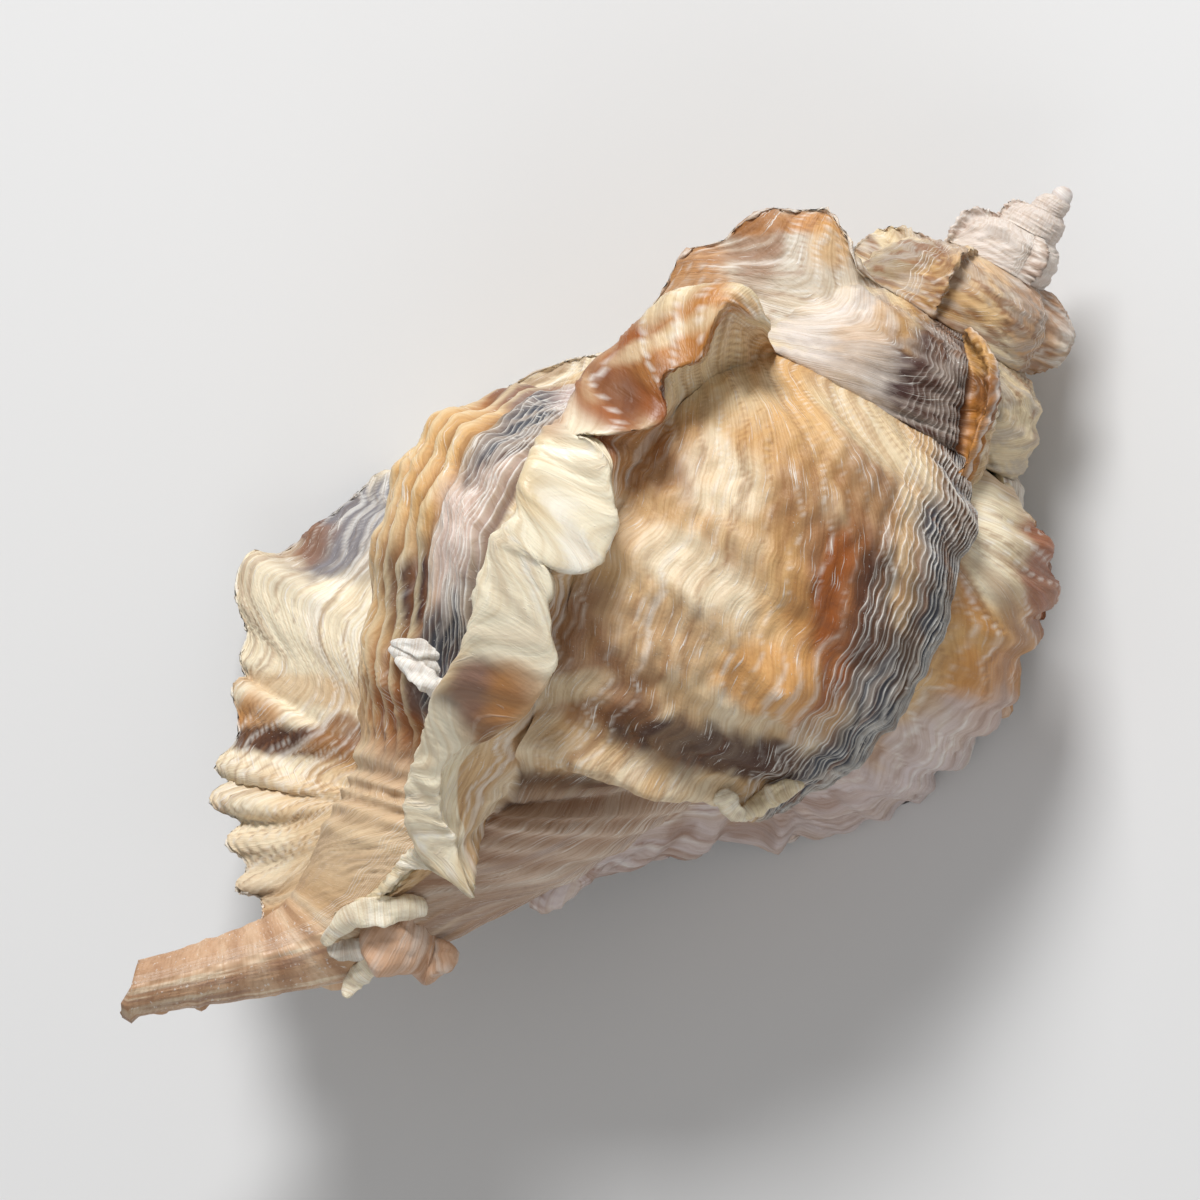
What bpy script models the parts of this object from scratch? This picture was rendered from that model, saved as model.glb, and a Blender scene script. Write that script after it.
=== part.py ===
"""A Ceratostoma burnettii seashell, lying on its aperture side.

The shell is one grown piece: a right-handed coil whose last whorl runs out into a closed siphonal canal, with three
wing-like varices on every turn. The newest wing is the lip of the aperture. Everything is worked out on the shell's own
axis first, in millimetres, and then turned to the way the shell lies.

On the axis, t runs from the apex to the canal, w sideways (positive on the lip's side) and z up from the aperture side to
the back. A growth angle runs on from whorl to whorl: 0 is the right side seen from the back with the apex up, 90 the back,
180 the left side. A column s runs across the whorl: 0 at the suture, 1 where the next suture lies, 2 at the ridge round
the base, 3 on the neck, 4 at the canal's end.
"""

import math

import bmesh
import bpy
import numpy as np
from mathutils import Matrix, Vector

MM = 0.001
DEGREE = math.pi / 180

# Driving dimensions, in millimetres and degrees
SHELL_LENGTH = 105.0  # apex to the canal's end, along the axis
FIRST_ANGLE = -2060.0  # growth angle at the apex
LAST_WHORL_STARTS = -125.0
LIP_ANGLE = 235.0
WALL = 2.2  # shell wall inside the aperture
MOUTH_DEPTH = 100.0  # degrees that the hollow reaches in behind the lip
ROOT = 1.6  # how far a wing is sunk in the whorl at its foot
THINNEST = 1.5  # of a wing, halfway up
GRAIN = 0.42  # size of the facets before they are thinned
TRIANGLES = 9000
FLAT_DEPTH = 0.3  # worn off where the shell touches the ground
LIE_ROLL = 13.1  # how the back leans to one side once the shell lies on its wings
LIE_PITCH = -6.8  # how far the apex dips

# The suture: growth angle, distance along the axis, radius
SUTURE = np.array(
    [
        (-2070, 0.02, 0.12),
        (-1980, 0.25, 0.40),
        (-1710, 1.1, 0.75),
        (-1350, 2.8, 1.4),
        (-990, 5.2, 2.6),
        (-630, 9.2, 4.5),
        (-450, 12.2, 5.9),
        (-350, 14.6, 7.2),
        (-270, 16.0, 8.1),
        (-210, 17.3, 9.0),
        (-125, 19.2, 10.5),
        (35, 22.7, 13.2),
        (90, 25.2, 14.4),
        (145, 28.0, 15.0),
        (180, 29.6, 15.2),
        (235, 32.0, 14.6),
    ]
)
SPIRE_BULGE = 0.17  # how far a spire whorl stands out, as a share of its width

# The last whorl's outline, t and radius from the suture to the neck, at eight growth angles
OUTLINE_COLUMNS = np.array([0, 0.3, 0.65, 1.0, 1.5, 2.0, 2.3, 3.0, 3.5, 4.0])
OUTLINES = {
    -125: [(19.2, 10.5), (22.5, 13.2), (27, 14.6), (32, 14.6), (39, 12.6), (46, 10.0), (52, 8.6), (66, 7.4)],
    -60: [(20.3, 11.4), (24, 13.4), (29, 14.0), (34.5, 13.8), (42, 12.6), (50, 10.6), (55, 9.2), (68, 7.6)],
    0: [(21.6, 12.7), (25.6, 17.0), (30.5, 19.2), (36.5, 19.8), (45, 18.8), (54, 15.6), (57.5, 11.4), (71, 8.0)],
    45: [(23.1, 13.5), (27.5, 18.6), (33, 21.2), (39, 22.0), (50, 21.0), (57.8, 16.4), (62, 11.6), (74, 8.0)],
    90: [(25.2, 14.4), (29.5, 19.6), (35.5, 22.4), (42, 23.4), (53, 22.4), (63, 16.6), (68, 11.4), (78, 8.0)],
    135: [(27.5, 14.9), (32.5, 19.0), (38, 22), (44.5, 24.6), (56, 24.4), (68, 16.8), (73, 11.8), (81, 8.4)],
    180: [(29.6, 15.2), (34.5, 18.6), (39.6, 20.4), (46, 25.4), (56, 26.6), (69, 18.6), (75, 12.6), (82.5, 8.6)],
    235: [(32.0, 14.6), (36.5, 18.2), (42, 20.8), (48, 23.4), (58, 23.6), (69, 17.4), (75, 12.4), (82.5, 8.6)],
}
CANAL_ROOT = (91.0, 4.6)
CANAL_END = (SHELL_LENGTH, 2.7)
COLUMELLA_END = (68.0, 7.2)  # where the pillar inside the aperture meets the neck
SHELL_COLOUR = (0.78, 0.66, 0.52, 1.0)

# The centre line bends towards the lip's side on its way down the canal: t, w, z
CENTRE_LINE = np.array(
    [(0, 0, 0), (55, 0, 0), (66, 0.6, -0.2), (80, 3.0, -0.5), (90, 6.6, 0), (97, 10.4, 0.4), (SHELL_LENGTH, 15.4, 1.0)]
)

# Wings that were measured one by one: column, growth angle of the back foot and of the front foot, edge (t, w, z) and the
# crest where the front face turns over (t, w, z)
LIP_WING = [
    (0.00, 226, 246, 33.0, 16.0, -14.5, 33.2, 15.0, -15.5),
    (0.30, 222, 242, 37.0, 21.5, -17.5, 37.4, 20.5, -18.8),
    (0.65, 217, 237, 43.0, 25.0, -20.5, 43.2, 24.0, -21.8),
    (1.00, 212, 232, 49.5, 27.0, -22.0, 49.6, 26.0, -23.3),
    (1.25, 208, 228, 55.0, 27.6, -22.5, 55.0, 26.7, -23.8),
    (1.50, 204, 224, 60.0, 29.4, -22.3, 60.0, 28.6, -23.6),
    (1.75, 200, 220, 65.5, 30.7, -21.5, 65.5, 29.9, -22.8),
    (2.00, 196, 216, 70.3, 32.2, -20.0, 70.3, 31.4, -21.3),
    (2.30, 192, 211, 77.0, 27.4, -17.5, 77.0, 26.8, -18.8),
    (2.60, 190, 208, 81.5, 24.4, -15.0, 81.5, 23.8, -16.2),
    (2.80, 189, 206, 84.6, 22.3, -12.5, 84.4, 21.8, -13.7),
    (3.00, 188, 204, 87.2, 20.2, -10.0, 87.0, 19.8, -11.1),
    (3.20, 187, 202, 89.4, 17.2, -7.5, 89.2, 16.8, -8.6),
    (3.40, 186, 200, 91.2, 14.0, -5.0, 91.0, 13.6, -6.0),
    (3.52, 186, 198, 91.8, 11.6, -2.5, 91.8, 11.4, -3.4),
]
BACK_WING = [
    (0.00, 133, 150, 26.3, 12.0, 20.0, 27.0, 16.5, 21.0),
    (0.15, 132, 150, 29.5, 15.4, 22.5, 29.0, 18.6, 20.5),
    (0.40, 130, 149, 34.0, 16.2, 24.0, 33.4, 20.1, 20.0),
    (0.60, 127, 147, 37.6, 13.6, 25.5, 37.2, 20.1, 20.5),
    (0.80, 124, 145, 41.6, 15.6, 26.5, 41.2, 20.0, 22.0),
    (0.92, 122, 143, 43.6, 17.9, 27.0, 43.6, 19.9, 24.5),
    (1.02, 120, 142, 45.0, 13.2, 27.5, 45.4, 19.5, 25.5),
    (1.18, 118, 140, 48.6, 9.3, 27.0, 48.6, 17.9, 27.0),
    (1.35, 116, 137, 52.0, 10.0, 27.0, 51.6, 16.2, 27.5),
    (1.46, 114, 134, 53.6, 13.0, 27.2, 54.2, 16.7, 26.5),
    (1.58, 112, 131, 56.2, 10.0, 26.5, 56.6, 15.8, 26.0),
    (1.75, 109, 127, 60.2, 6.0, 24.5, 60.4, 13.4, 24.5),
    (1.90, 106, 123, 64.5, 6.2, 22.0, 64.6, 12.2, 22.0),
    (2.00, 104, 120, 68.0, 8.4, 20.0, 68.0, 12.0, 19.5),
    (2.15, 102, 117, 71.0, 9.0, 17.0, 71.2, 11.3, 16.5),
    (2.40, 98, 113, 75.4, 7.2, 14.0, 75.6, 8.9, 13.5),
    (2.80, 94, 108, 79.6, 4.2, 10.5, 79.6, 5.4, 10.2),
    (3.10, 90, 104, 83.5, 4.2, 8.5, 83.5, 5.2, 8.3),
    (3.35, 88, 100, 87.5, 6.2, 6.2, 87.5, 6.8, 6.0),
]
SIDE_WING = [
    (0.00, 30, 52, 22.6, -12.6, 6.0, 22.4, -13.6, 7.2),
    (0.20, 26, 50, 24.0, -16.2, 4.0, 23.8, -17.2, 5.2),
    (0.45, 21, 47, 26.8, -20.4, 0.6, 26.6, -21.4, 1.8),
    (0.80, 15, 42, 32.2, -22.0, -3.6, 32.0, -23.0, -2.4),
    (1.10, 9, 37, 37.1, -24.6, -6.8, 37.0, -25.6, -5.6),
    (1.40, 3, 30, 42.5, -24.3, -9.4, 42.5, -25.3, -8.2),
    (1.70, -3, 22, 48.2, -23.8, -11.6, 48.4, -24.8, -10.4),
    (1.90, -8, 16, 52.8, -21.6, -12.2, 53.0, -22.6, -11.0),
    (2.05, -12, 10, 57.2, -18.2, -12.4, 57.6, -19.2, -11.2),
    (2.25, -17, 4, 61.2, -13.7, -12.2, 61.6, -14.6, -11.0),
    (2.50, -21, -2, 65.4, -10.9, -11.2, 65.6, -11.8, -10.0),
    (2.75, -24, -6, 70.0, -7.8, -9.4, 70.2, -8.6, -8.2),
    (2.95, -26, -8, 74.2, -6.4, -7.2, 74.6, -7.2, -6.0),
    (3.10, -26, -10, 76.6, -4.0, -5.0, 77.0, -4.6, -4.0),
]
LEFT_SPIRE_WING = [
    (0.00, -222, -204, 15.6, 13.0, 6.5, 16.0, 12.6, 5.6),
    (0.15, -222, -203, 16.2, 15.6, 6.5, 16.6, 15.2, 5.4),
    (0.35, -221, -202, 18.6, 18.2, 6.5, 18.8, 17.6, 5.2),
    (0.55, -220, -201, 21.5, 19.2, 6.0, 21.6, 18.6, 4.8),
    (0.75, -219, -200, 25.0, 20.8, 5.0, 25.0, 20.2, 3.8),
    (0.90, -218, -199, 29.0, 20.2, 4.0, 29.0, 19.6, 2.8),
    (1.00, -218, -199, 32.0, 19.8, 3.0, 32.0, 19.2, 2.0),
]
BACK_SPIRE_WING = [
    (0.00, -286, -262, 13.8, -2.6, 11.0, 14.0, -1.6, 11.8),
    (0.30, -292, -268, 16.0, -4.8, 13.2, 16.2, -3.8, 13.8),
    (0.60, -299, -276, 20.0, -7.4, 13.6, 20.0, -6.4, 14.4),
    (0.85, -306, -284, 23.5, -9.8, 12.4, 23.4, -8.9, 13.4),
    (1.00, -311, -289, 25.8, -11.6, 11.0, 25.6, -10.8, 12.0),
]

# Smaller wings up the spire: growth angle, height, how far the wing falls back across the whorl, width of its foot
SMALL_WINGS = [
    (-95, 1.8, -14, 12),
    (-420, 2.4, -14, 12),
    (-510, 2.0, -12, 12),
    (-595, 1.9, -18, 14),
    (-705, 2.4, -16, 16),
    (-800, 1.2, -12, 14),
    (-905, 1.1, -12, 14),
    (-1010, 0.9, -12, 16),
    (-1130, 0.6, -12, 18),
    (-1250, 0.45, -12, 20),
]


def through(x, knots, values):
    """A smooth curve through points: cubic pieces, whose slope at a point is its neighbours' chords weighted by length."""
    knots = np.asarray(knots, float)
    values = np.asarray(values, float)
    x = np.clip(np.asarray(x, float), knots[0], knots[-1])
    tail = (1,) * (values.ndim - 1)
    step = np.diff(knots)
    wide = step.reshape((-1, *tail))
    chord = np.diff(values, axis=0) / wide
    slope = np.empty_like(values)
    slope[0], slope[-1] = chord[0], chord[-1]
    slope[1:-1] = (wide[1:] * chord[:-1] + wide[:-1] * chord[1:]) / (wide[1:] + wide[:-1])
    i = np.clip(np.searchsorted(knots, x, side="right") - 1, 0, len(step) - 1)
    u = ((x - knots[i]) / step[i]).reshape((*x.shape, *tail))
    h = step[i].reshape((*x.shape, *tail))
    start = (2 * u**3 - 3 * u**2 + 1) * values[i] + (u**3 - 2 * u**2 + u) * h * slope[i]
    finish = (3 * u**2 - 2 * u**3) * values[i + 1] + (u**3 - u**2) * h * slope[i + 1]
    return start + finish


def unit(v):
    return v / np.maximum(np.linalg.norm(v, axis=-1, keepdims=True), 1e-9)


def suture(angle):
    return through(angle, SUTURE[:, 0], SUTURE[:, 1:])


def spire_outline(angle, s):
    """t and radius between two sutures: the chord from one to the next, bowed outwards."""
    top, foot = suture(angle), suture(angle + 360)
    chord = foot - top
    out = np.stack([-chord[..., 1], chord[..., 0]], -1)
    bow = SPIRE_BULGE * through(s, [0, 0.3, 0.65, 1.0], [0, 0.95, 0.75, 0])
    return top + chord * s[..., None] + out * bow[..., None]


def last_outline(angle, s):
    """t and radius on the last whorl: the outlines are read at each column, then blended over the growth angle."""
    angles = sorted(OUTLINES)
    table = np.array([OUTLINES[a] + [CANAL_ROOT, CANAL_END] for a in angles], float)
    columns = through(s, OUTLINE_COLUMNS, table.transpose(1, 0, 2))
    return np.stack([through(angle[..., i], angles, columns[i]) for i in range(len(s))], -2)


def place(outline, angle):
    """Turns t and radius at an angle round the bent centre line into x, y, z. The apex is towards +y and the lip's side
    towards -x."""
    t, radius = outline[..., 0], outline[..., 1]
    bend = through(t, CENTRE_LINE[:, 0], CENTRE_LINE[:, 1:])
    x = radius * np.cos(angle * DEGREE) - bend[..., 0]
    return np.stack([x, -t, radius * np.sin(angle * DEGREE) + bend[..., 1]], -1)


def coil(angle, s, sunk=0.0):
    """Points of the whorls without their wings. angle has one value for every column, in its last axis."""
    angle = np.broadcast_to(angle, np.broadcast_shapes(np.shape(angle), s.shape)).astype(float)
    late = last_outline(np.maximum(angle, LAST_WHORL_STARTS), s)
    early = spire_outline(angle, np.clip(s, 0, 1))
    outline = np.where(((angle < LAST_WHORL_STARTS) & (s <= 1))[..., None], early, late)
    outline[..., 1] -= sunk
    return place(outline, angle)


def grid_mesh(name, rings):
    """A closed solid from rings of points: the rings' points join round, and a fan closes each end."""
    count, size = rings.shape[:2]
    ends = np.stack([rings[0].mean(0), rings[-1].mean(0)])
    points = np.concatenate([rings.reshape(-1, 3), ends])
    i = np.arange(size)
    j = (i + 1) % size
    row = np.arange(count - 1)[:, None] * size
    faces = np.stack([row + i, row + j, row + j + size, row + i + size], -1).reshape(-1, 4).tolist()
    last = (count - 1) * size
    faces += np.stack([j, i, np.full(size, count * size)], -1).tolist()
    faces += np.stack([last + i, last + j, np.full(size, count * size + 1)], -1).tolist()
    mesh = bpy.data.meshes.new(name)
    mesh.from_pydata((points * MM).tolist(), [], faces)
    shape = bmesh.new()
    shape.from_mesh(mesh)
    bmesh.ops.recalc_face_normals(shape, faces=shape.faces)
    shape.to_mesh(mesh)
    shape.free()
    return mesh


def spire_mesh():
    """The early whorls: sections from the axis out to the whorl, carried round from the apex."""
    s = np.linspace(0, 1, 9)
    angle = np.arange(FIRST_ANGLE, LAST_WHORL_STARTS + 8, 6.0)
    outer = coil(angle[:, None], s)
    axis = np.stack([0 * outer[..., 0], outer[..., 1], 0 * outer[..., 2]], -1)
    rings = np.concatenate([outer, axis[:, ::-1] + 0.02 * outer[:, ::-1] * (1, 0, 1)], 1)
    return grid_mesh("spire", rings)


def last_whorl_mesh():
    """The last whorl with the neck and the canal, one turn and a little more."""
    s = np.linspace(0, 4, 49)
    angle = np.arange(LAST_WHORL_STARTS - 6, LIP_ANGLE + 0.5, 6.0)
    outer = coil(angle[:, None], s)
    bend = through(-outer[..., 1], CENTRE_LINE[:, 0], CENTRE_LINE[:, 1:])
    axis = np.stack([-bend[..., 0], outer[..., 1], bend[..., 1]], -1)
    rings = np.concatenate([outer, (axis * 0.97 + outer * 0.03)[:, ::-1]], 1)
    return grid_mesh("last_whorl", rings)


def wing_mesh(name, columns, back, front, edge, crest, lift, under):
    """A wing: a fold from the back foot up to the edge, over the crest and down to the front foot, closed under the
    whorl's surface. under is how far the edge's lower side lies from its upper side."""
    h = np.linspace(0, 1, 17)
    foot, toe = coil(back, columns), coil(front, columns)
    sunk_foot, sunk_toe = coil(back, columns, ROOT), coil(front, columns, ROOT)
    out = unit(foot - sunk_foot)
    back_middle = (foot + edge) / 2 + lift * np.linalg.norm(edge - foot, axis=-1, keepdims=True) * out
    waist = coil((back + front) / 2, columns)
    waist += unit(waist - coil((back + front) / 2, columns, ROOT)) * 0.3 * np.linalg.norm(crest - waist, axis=-1)[:, None]
    waist = (waist + (crest + toe) / 2) / 2
    ahead = unit(toe - foot)
    thick = ((waist - back_middle) * ahead).sum(-1, keepdims=True)
    waist += ahead * np.maximum(0, THINNEST - thick)
    stations = np.stack([foot, back_middle, edge + under, edge, crest, waist, toe])
    fold = through(h, [0, 0.2, 0.44, 0.5, 0.62, 0.84, 1.0], stations)
    rings = np.concatenate([fold, sunk_toe[None], sunk_foot[None]]).transpose(1, 0, 2)
    return grid_mesh(name, rings)


def measured_wing(name, rows, lift, under=(0, 0, -0.2)):
    rows = np.array(rows, float)
    s = np.linspace(rows[0, 0], rows[-1, 0], max(12, int(30 * (rows[-1, 0] - rows[0, 0]))))
    at = through(s, rows[:, 0], rows[:, 1:])
    turn = [(3, 2, 4), (6, 5, 7)]
    edge, crest = (at[:, index] * (-1, -1, 1) for index in turn)
    return wing_mesh(name, s, at[:, 0], at[:, 1], edge, crest, lift, under)


def small_wing(index, angle, height, fall, width):
    """A wing of the early whorls: it stands straight out, leaning back a little, and dies out at both sutures."""
    s = np.linspace(0, 1, 10)
    middle = angle + fall * s
    back, front = middle - 0.35 * width, middle + 0.65 * width
    foot = coil(middle - 0.3 * width, s)
    out = unit(foot * (1, 0, 1))
    ahead = unit(coil(middle + 1, s) - coil(middle - 1, s))
    tall = height * (np.sin(math.pi * (0.1 + 0.86 * s)) ** 0.6)[:, None]
    edge = foot + tall * (out - 0.25 * ahead) + tall * (1 - s)[:, None] * (0, 0.25, 0)
    crest = edge + (0.6 + 0.2 * height) * ahead
    return wing_mesh(f"small_wing_{index}", s, back, front, edge, crest, 0.1, -0.3 * ahead)


def old_canal_mesh():
    """The stub of the canal before this one, which the newest growth has pushed aside."""
    route = np.array([(79.0, 1.0, 1.0), (83.0, -0.6, 1.6), (86.0, -1.4, 1.8), (88.2, -1.6, 1.6)])  # t, w, z
    radius = np.array([2.5, 3.4, 3.2, 1.6])
    round_it = np.arange(14) / 14 * 2 * math.pi
    points = route[:, [1, 0, 2]] * (-1, -1, 1)
    across = np.stack([np.cos(round_it), 0 * round_it, np.sin(round_it)], -1)
    return grid_mesh("old_canal", points[:, None] + radius[:, None, None] * across)


def mouth_mesh():
    """The hollow, as a solid to cut away: inside the wall of the last whorl, outside the columella, from beyond the lip
    inwards."""
    s = np.linspace(0.22, 2.12, 20)
    lip = through(s, [row[0] for row in LIP_WING], [row[2] for row in LIP_WING])
    turns = np.concatenate([[-32.0, -16.0, -3.0, 0.0], np.linspace(6, MOUTH_DEPTH, 16)])
    outside = through(turns, [-32, -3, 0, 6, MOUTH_DEPTH], [5, 4, -0.7 * WALL, -WALL, -WALL])
    rings = []
    for turn, offset in zip(turns, outside):
        angle = lip - turn
        outline = last_outline(angle, s)
        outline[:, 1] += offset
        top = suture(np.minimum(angle, LIP_ANGLE))
        t = outline[:, 0]
        share = np.clip((t - top[:, 0]) / (COLUMELLA_END[0] - top[:, 0]), 0, 1)
        inner = through(share, [0, 0.25, 0.5, 1], [0.6, 0.1, 0, 0]) + top[:, 1] * (1 - share) ** 1.3
        inner += COLUMELLA_END[1] * (1 - (1 - share) ** 1.3)
        inner = np.minimum(inner, outline[:, 1] - 0.5)
        ring = np.concatenate([place(outline, angle), place(np.stack([t, inner], -1), angle)[::-1]])
        rings.append(ring)
    return grid_mesh("mouth", np.array(rings))


def clear_scene():
    for item in list(bpy.data.objects):
        bpy.data.objects.remove(item)


def add_object(name, mesh):
    item = bpy.data.objects.new(name, mesh)
    bpy.context.collection.objects.link(item)
    return item


def joined(name, meshes):
    """One mesh that holds several solids."""
    shape = bmesh.new()
    for mesh in meshes:
        shape.from_mesh(mesh)
    result = bpy.data.meshes.new(name)
    shape.to_mesh(result)
    shape.free()
    return result


def shell_solids():
    solids = [spire_mesh(), last_whorl_mesh(), old_canal_mesh()]
    solids.append(measured_wing("lip_wing", LIP_WING, -0.05))
    solids.append(measured_wing("back_wing", BACK_WING, 0.1, (0, 0, -1.3)))
    solids.append(measured_wing("side_wing", SIDE_WING, 0.05))
    solids.append(measured_wing("left_spire_wing", LEFT_SPIRE_WING, 0.1))
    solids.append(measured_wing("back_spire_wing", BACK_SPIRE_WING, 0.1))
    solids += [small_wing(i, *wing) for i, wing in enumerate(SMALL_WINGS)]
    return solids


def fused(item, mouth):
    """Fuses the overlapping solids, cuts the hollow and thins the facets. Gives the finished mesh."""
    fuse = item.modifiers.new("fuse", "REMESH")
    fuse.mode = "VOXEL"
    fuse.voxel_size = GRAIN * MM
    hollow = item.modifiers.new("hollow", "BOOLEAN")
    hollow.operation = "DIFFERENCE"
    hollow.solver = "EXACT"
    hollow.object = mouth
    bpy.context.view_layer.update()
    whole = item.evaluated_get(bpy.context.evaluated_depsgraph_get())
    count = sum(len(face.vertices) - 2 for face in whole.data.polygons)
    thin = item.modifiers.new("thin", "DECIMATE")
    thin.ratio = min(1.0, TRIANGLES / count)
    bpy.context.view_layer.update()
    whole = item.evaluated_get(bpy.context.evaluated_depsgraph_get())
    return bpy.data.meshes.new_from_object(whole)


def largest_body(mesh):
    """Drops the crumbs that fusing leaves beside the shell."""
    shape = bmesh.new()
    shape.from_mesh(mesh)
    left = set(shape.verts)
    bodies = []
    while left:
        body, edge_of_body = set(), [left.pop()]
        while edge_of_body:
            vert = edge_of_body.pop()
            body.add(vert)
            near = [edge.other_vert(vert) for edge in vert.link_edges]
            edge_of_body += [other for other in near if other in left]
            left.difference_update(near)
        bodies.append(body)
    bodies.sort(key=len)
    crumbs = [vert for body in bodies[:-1] for vert in body]
    bmesh.ops.delete(shape, geom=crumbs, context="VERTS")
    shape.to_mesh(mesh)
    shape.free()


def laid_down(mesh):
    """Turns the shell to the way it lies, wears the touching points flat and puts its bottom centre at the origin."""
    turn = Matrix.Rotation(math.radians(LIE_PITCH), 4, "X") @ Matrix.Rotation(math.radians(LIE_ROLL), 4, "Y")
    mesh.transform(turn)
    shape = bmesh.new()
    shape.from_mesh(mesh)
    ground = min(v.co.z for v in shape.verts) + FLAT_DEPTH * MM
    everything = list(shape.verts) + list(shape.edges) + list(shape.faces)
    cut = bmesh.ops.bisect_plane(
        shape, geom=everything, dist=1e-7, plane_co=(0, 0, ground), plane_no=(0, 0, 1), clear_inner=True
    )
    rim = [e for e in cut["geom_cut"] if isinstance(e, bmesh.types.BMEdge)]
    bmesh.ops.holes_fill(shape, edges=rim, sides=0)
    bmesh.ops.triangulate(shape, faces=[f for f in shape.faces if len(f.verts) > 3])
    low = Vector([min(v.co[i] for v in shape.verts) for i in range(3)])
    high = Vector([max(v.co[i] for v in shape.verts) for i in range(3)])
    bmesh.ops.translate(shape, verts=shape.verts, vec=(-(low.x + high.x) / 2, -(low.y + high.y) / 2, -low.z))
    shape.to_mesh(mesh)
    shape.free()


def shell_material():
    material = bpy.data.materials.new("shell")
    material.use_nodes = True
    shader = material.node_tree.nodes["Principled BSDF"]
    shader.inputs["Base Color"].default_value = SHELL_COLOUR
    shader.inputs["Roughness"].default_value = 0.45
    shader.inputs["Metallic"].default_value = 0.0
    return material


def build():
    clear_scene()
    mouth = add_object("mouth", mouth_mesh())
    mouth.hide_render = True
    mouth.display_type = "WIRE"
    rough = add_object("rough", joined("rough", shell_solids()))
    mesh = fused(rough, mouth)
    largest_body(mesh)
    laid_down(mesh)
    for item in (rough, mouth):
        bpy.data.objects.remove(item)
    shell = add_object("shell", mesh)
    mesh.materials.clear()
    mesh.materials.append(shell_material())
    mesh.shade_smooth()
    mesh.set_sharp_from_angle(angle=math.radians(40))


build()
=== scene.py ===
# %% [markdown]
# # A frilled seashell, grown row by row
#
# This sea snail shell has one surface. The snail lays it down at the aperture's lip, a strip at a time, so a shell is
# a profile that is carried round an axis while it grows. Three times on each turn the snail stops, flares its lip out
# into a thin wing, and later goes on from the wing's foot. We build the surface the way the snail did: each row of the
# mesh is the lip at one moment, and each column is a point of the lip followed through time.
#
# The packed model gives the frame: where the shell lies and how big it is.

# %% Load the frame
import math
from types import SimpleNamespace

import bmesh
import bpy
import numpy as np
from mathutils import Matrix, Vector


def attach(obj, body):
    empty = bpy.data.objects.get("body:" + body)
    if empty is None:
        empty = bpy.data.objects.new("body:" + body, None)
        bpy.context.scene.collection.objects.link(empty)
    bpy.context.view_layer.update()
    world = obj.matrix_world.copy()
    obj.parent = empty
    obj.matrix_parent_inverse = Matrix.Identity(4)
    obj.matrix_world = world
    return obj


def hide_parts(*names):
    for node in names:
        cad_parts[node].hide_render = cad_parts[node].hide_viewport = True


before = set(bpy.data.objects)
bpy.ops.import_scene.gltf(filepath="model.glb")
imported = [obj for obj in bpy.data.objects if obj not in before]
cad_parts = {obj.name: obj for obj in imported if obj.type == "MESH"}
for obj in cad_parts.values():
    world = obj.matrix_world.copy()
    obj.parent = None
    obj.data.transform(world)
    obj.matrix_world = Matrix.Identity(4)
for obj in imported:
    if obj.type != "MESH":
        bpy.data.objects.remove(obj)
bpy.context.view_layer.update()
MM = 0.001
DEGREE = math.pi / 180


# %% [markdown]
# ## Curves through a few points
#
# All the measured shapes are short lists of points. A Bezier curve object could join them, but the shell needs the
# values inside its own formulas, so one small function does it for numbers, points and whole tables alike.

# %% A smooth curve through points


def through(x, knots, values):
    """Cubic pieces through the points (knots, values). The slope at each point is the mean of the two chords beside
    it, weighted by the other chord's length, and each piece is the cubic with its two points and two slopes."""
    knots = np.asarray(knots, float)
    values = np.asarray(values, float)
    x = np.clip(np.asarray(x, float), knots[0], knots[-1])
    tail = (1,) * (values.ndim - 1)
    step = np.diff(knots)
    wide = step.reshape((-1, *tail))
    chord = np.diff(values, axis=0) / wide
    slope = np.empty_like(values)
    slope[0], slope[-1] = chord[0], chord[-1]
    slope[1:-1] = (wide[1:] * chord[:-1] + wide[:-1] * chord[1:]) / (wide[1:] + wide[:-1])
    i = np.clip(np.searchsorted(knots, x, side="right") - 1, 0, len(step) - 1)
    u = ((x - knots[i]) / step[i]).reshape((*x.shape, *tail))
    h = step[i].reshape((*x.shape, *tail))
    start = (2 * u**3 - 3 * u**2 + 1) * values[i] + (u**3 - 2 * u**2 + u) * h * slope[i]
    finish = (3 * u**2 - 2 * u**3) * values[i + 1] + (u**3 - u**2) * h * slope[i + 1]
    return start + finish


def unit(v):
    """Each vector divided by its own length."""
    return v / np.maximum(np.linalg.norm(v, axis=-1, keepdims=True), 1e-9)


def smooth(x, low, high):
    """0 below low, 1 above high, and 3u^2 - 2u^3 between them."""
    u = np.clip((x - low) / (high - low), 0, 1)
    return u * u * (3 - 2 * u)


print("a curve through 0, 3 and 1, halfway along each piece:", through([0.5, 1.5], [0, 1, 2], [0, 3, 1]))

# %% [markdown]
# ## Noise
#
# Growth is never even. Blender's noise textures only reach the material, and here ribs, plates and colours are numbers
# on the rows, so we make noise from a table of random numbers. Its seed is fixed, so every run gives the same shell.

# %% Noise
LAYERS, CELLS = 8, 64
LATTICE = np.random.default_rng(7).random((LAYERS, CELLS, CELLS)) * 2 - 1


def noise(u, v, layer=0):
    """Value noise from -1 to 1: random numbers on a square lattice, blended between the four nearest with the smooth
    step."""
    table = LATTICE[layer % LAYERS]
    i, j = np.floor(u).astype(int), np.floor(v).astype(int)
    a, b = smooth(u - i, 0, 1), smooth(v - j, 0, 1)
    i0, j0, i1, j1 = i % CELLS, j % CELLS, (i + 1) % CELLS, (j + 1) % CELLS
    top = table[i0, j0] * (1 - b) + table[i0, j1] * b
    return top * (1 - a) + (table[i1, j0] * (1 - b) + table[i1, j1] * b) * a


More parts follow.
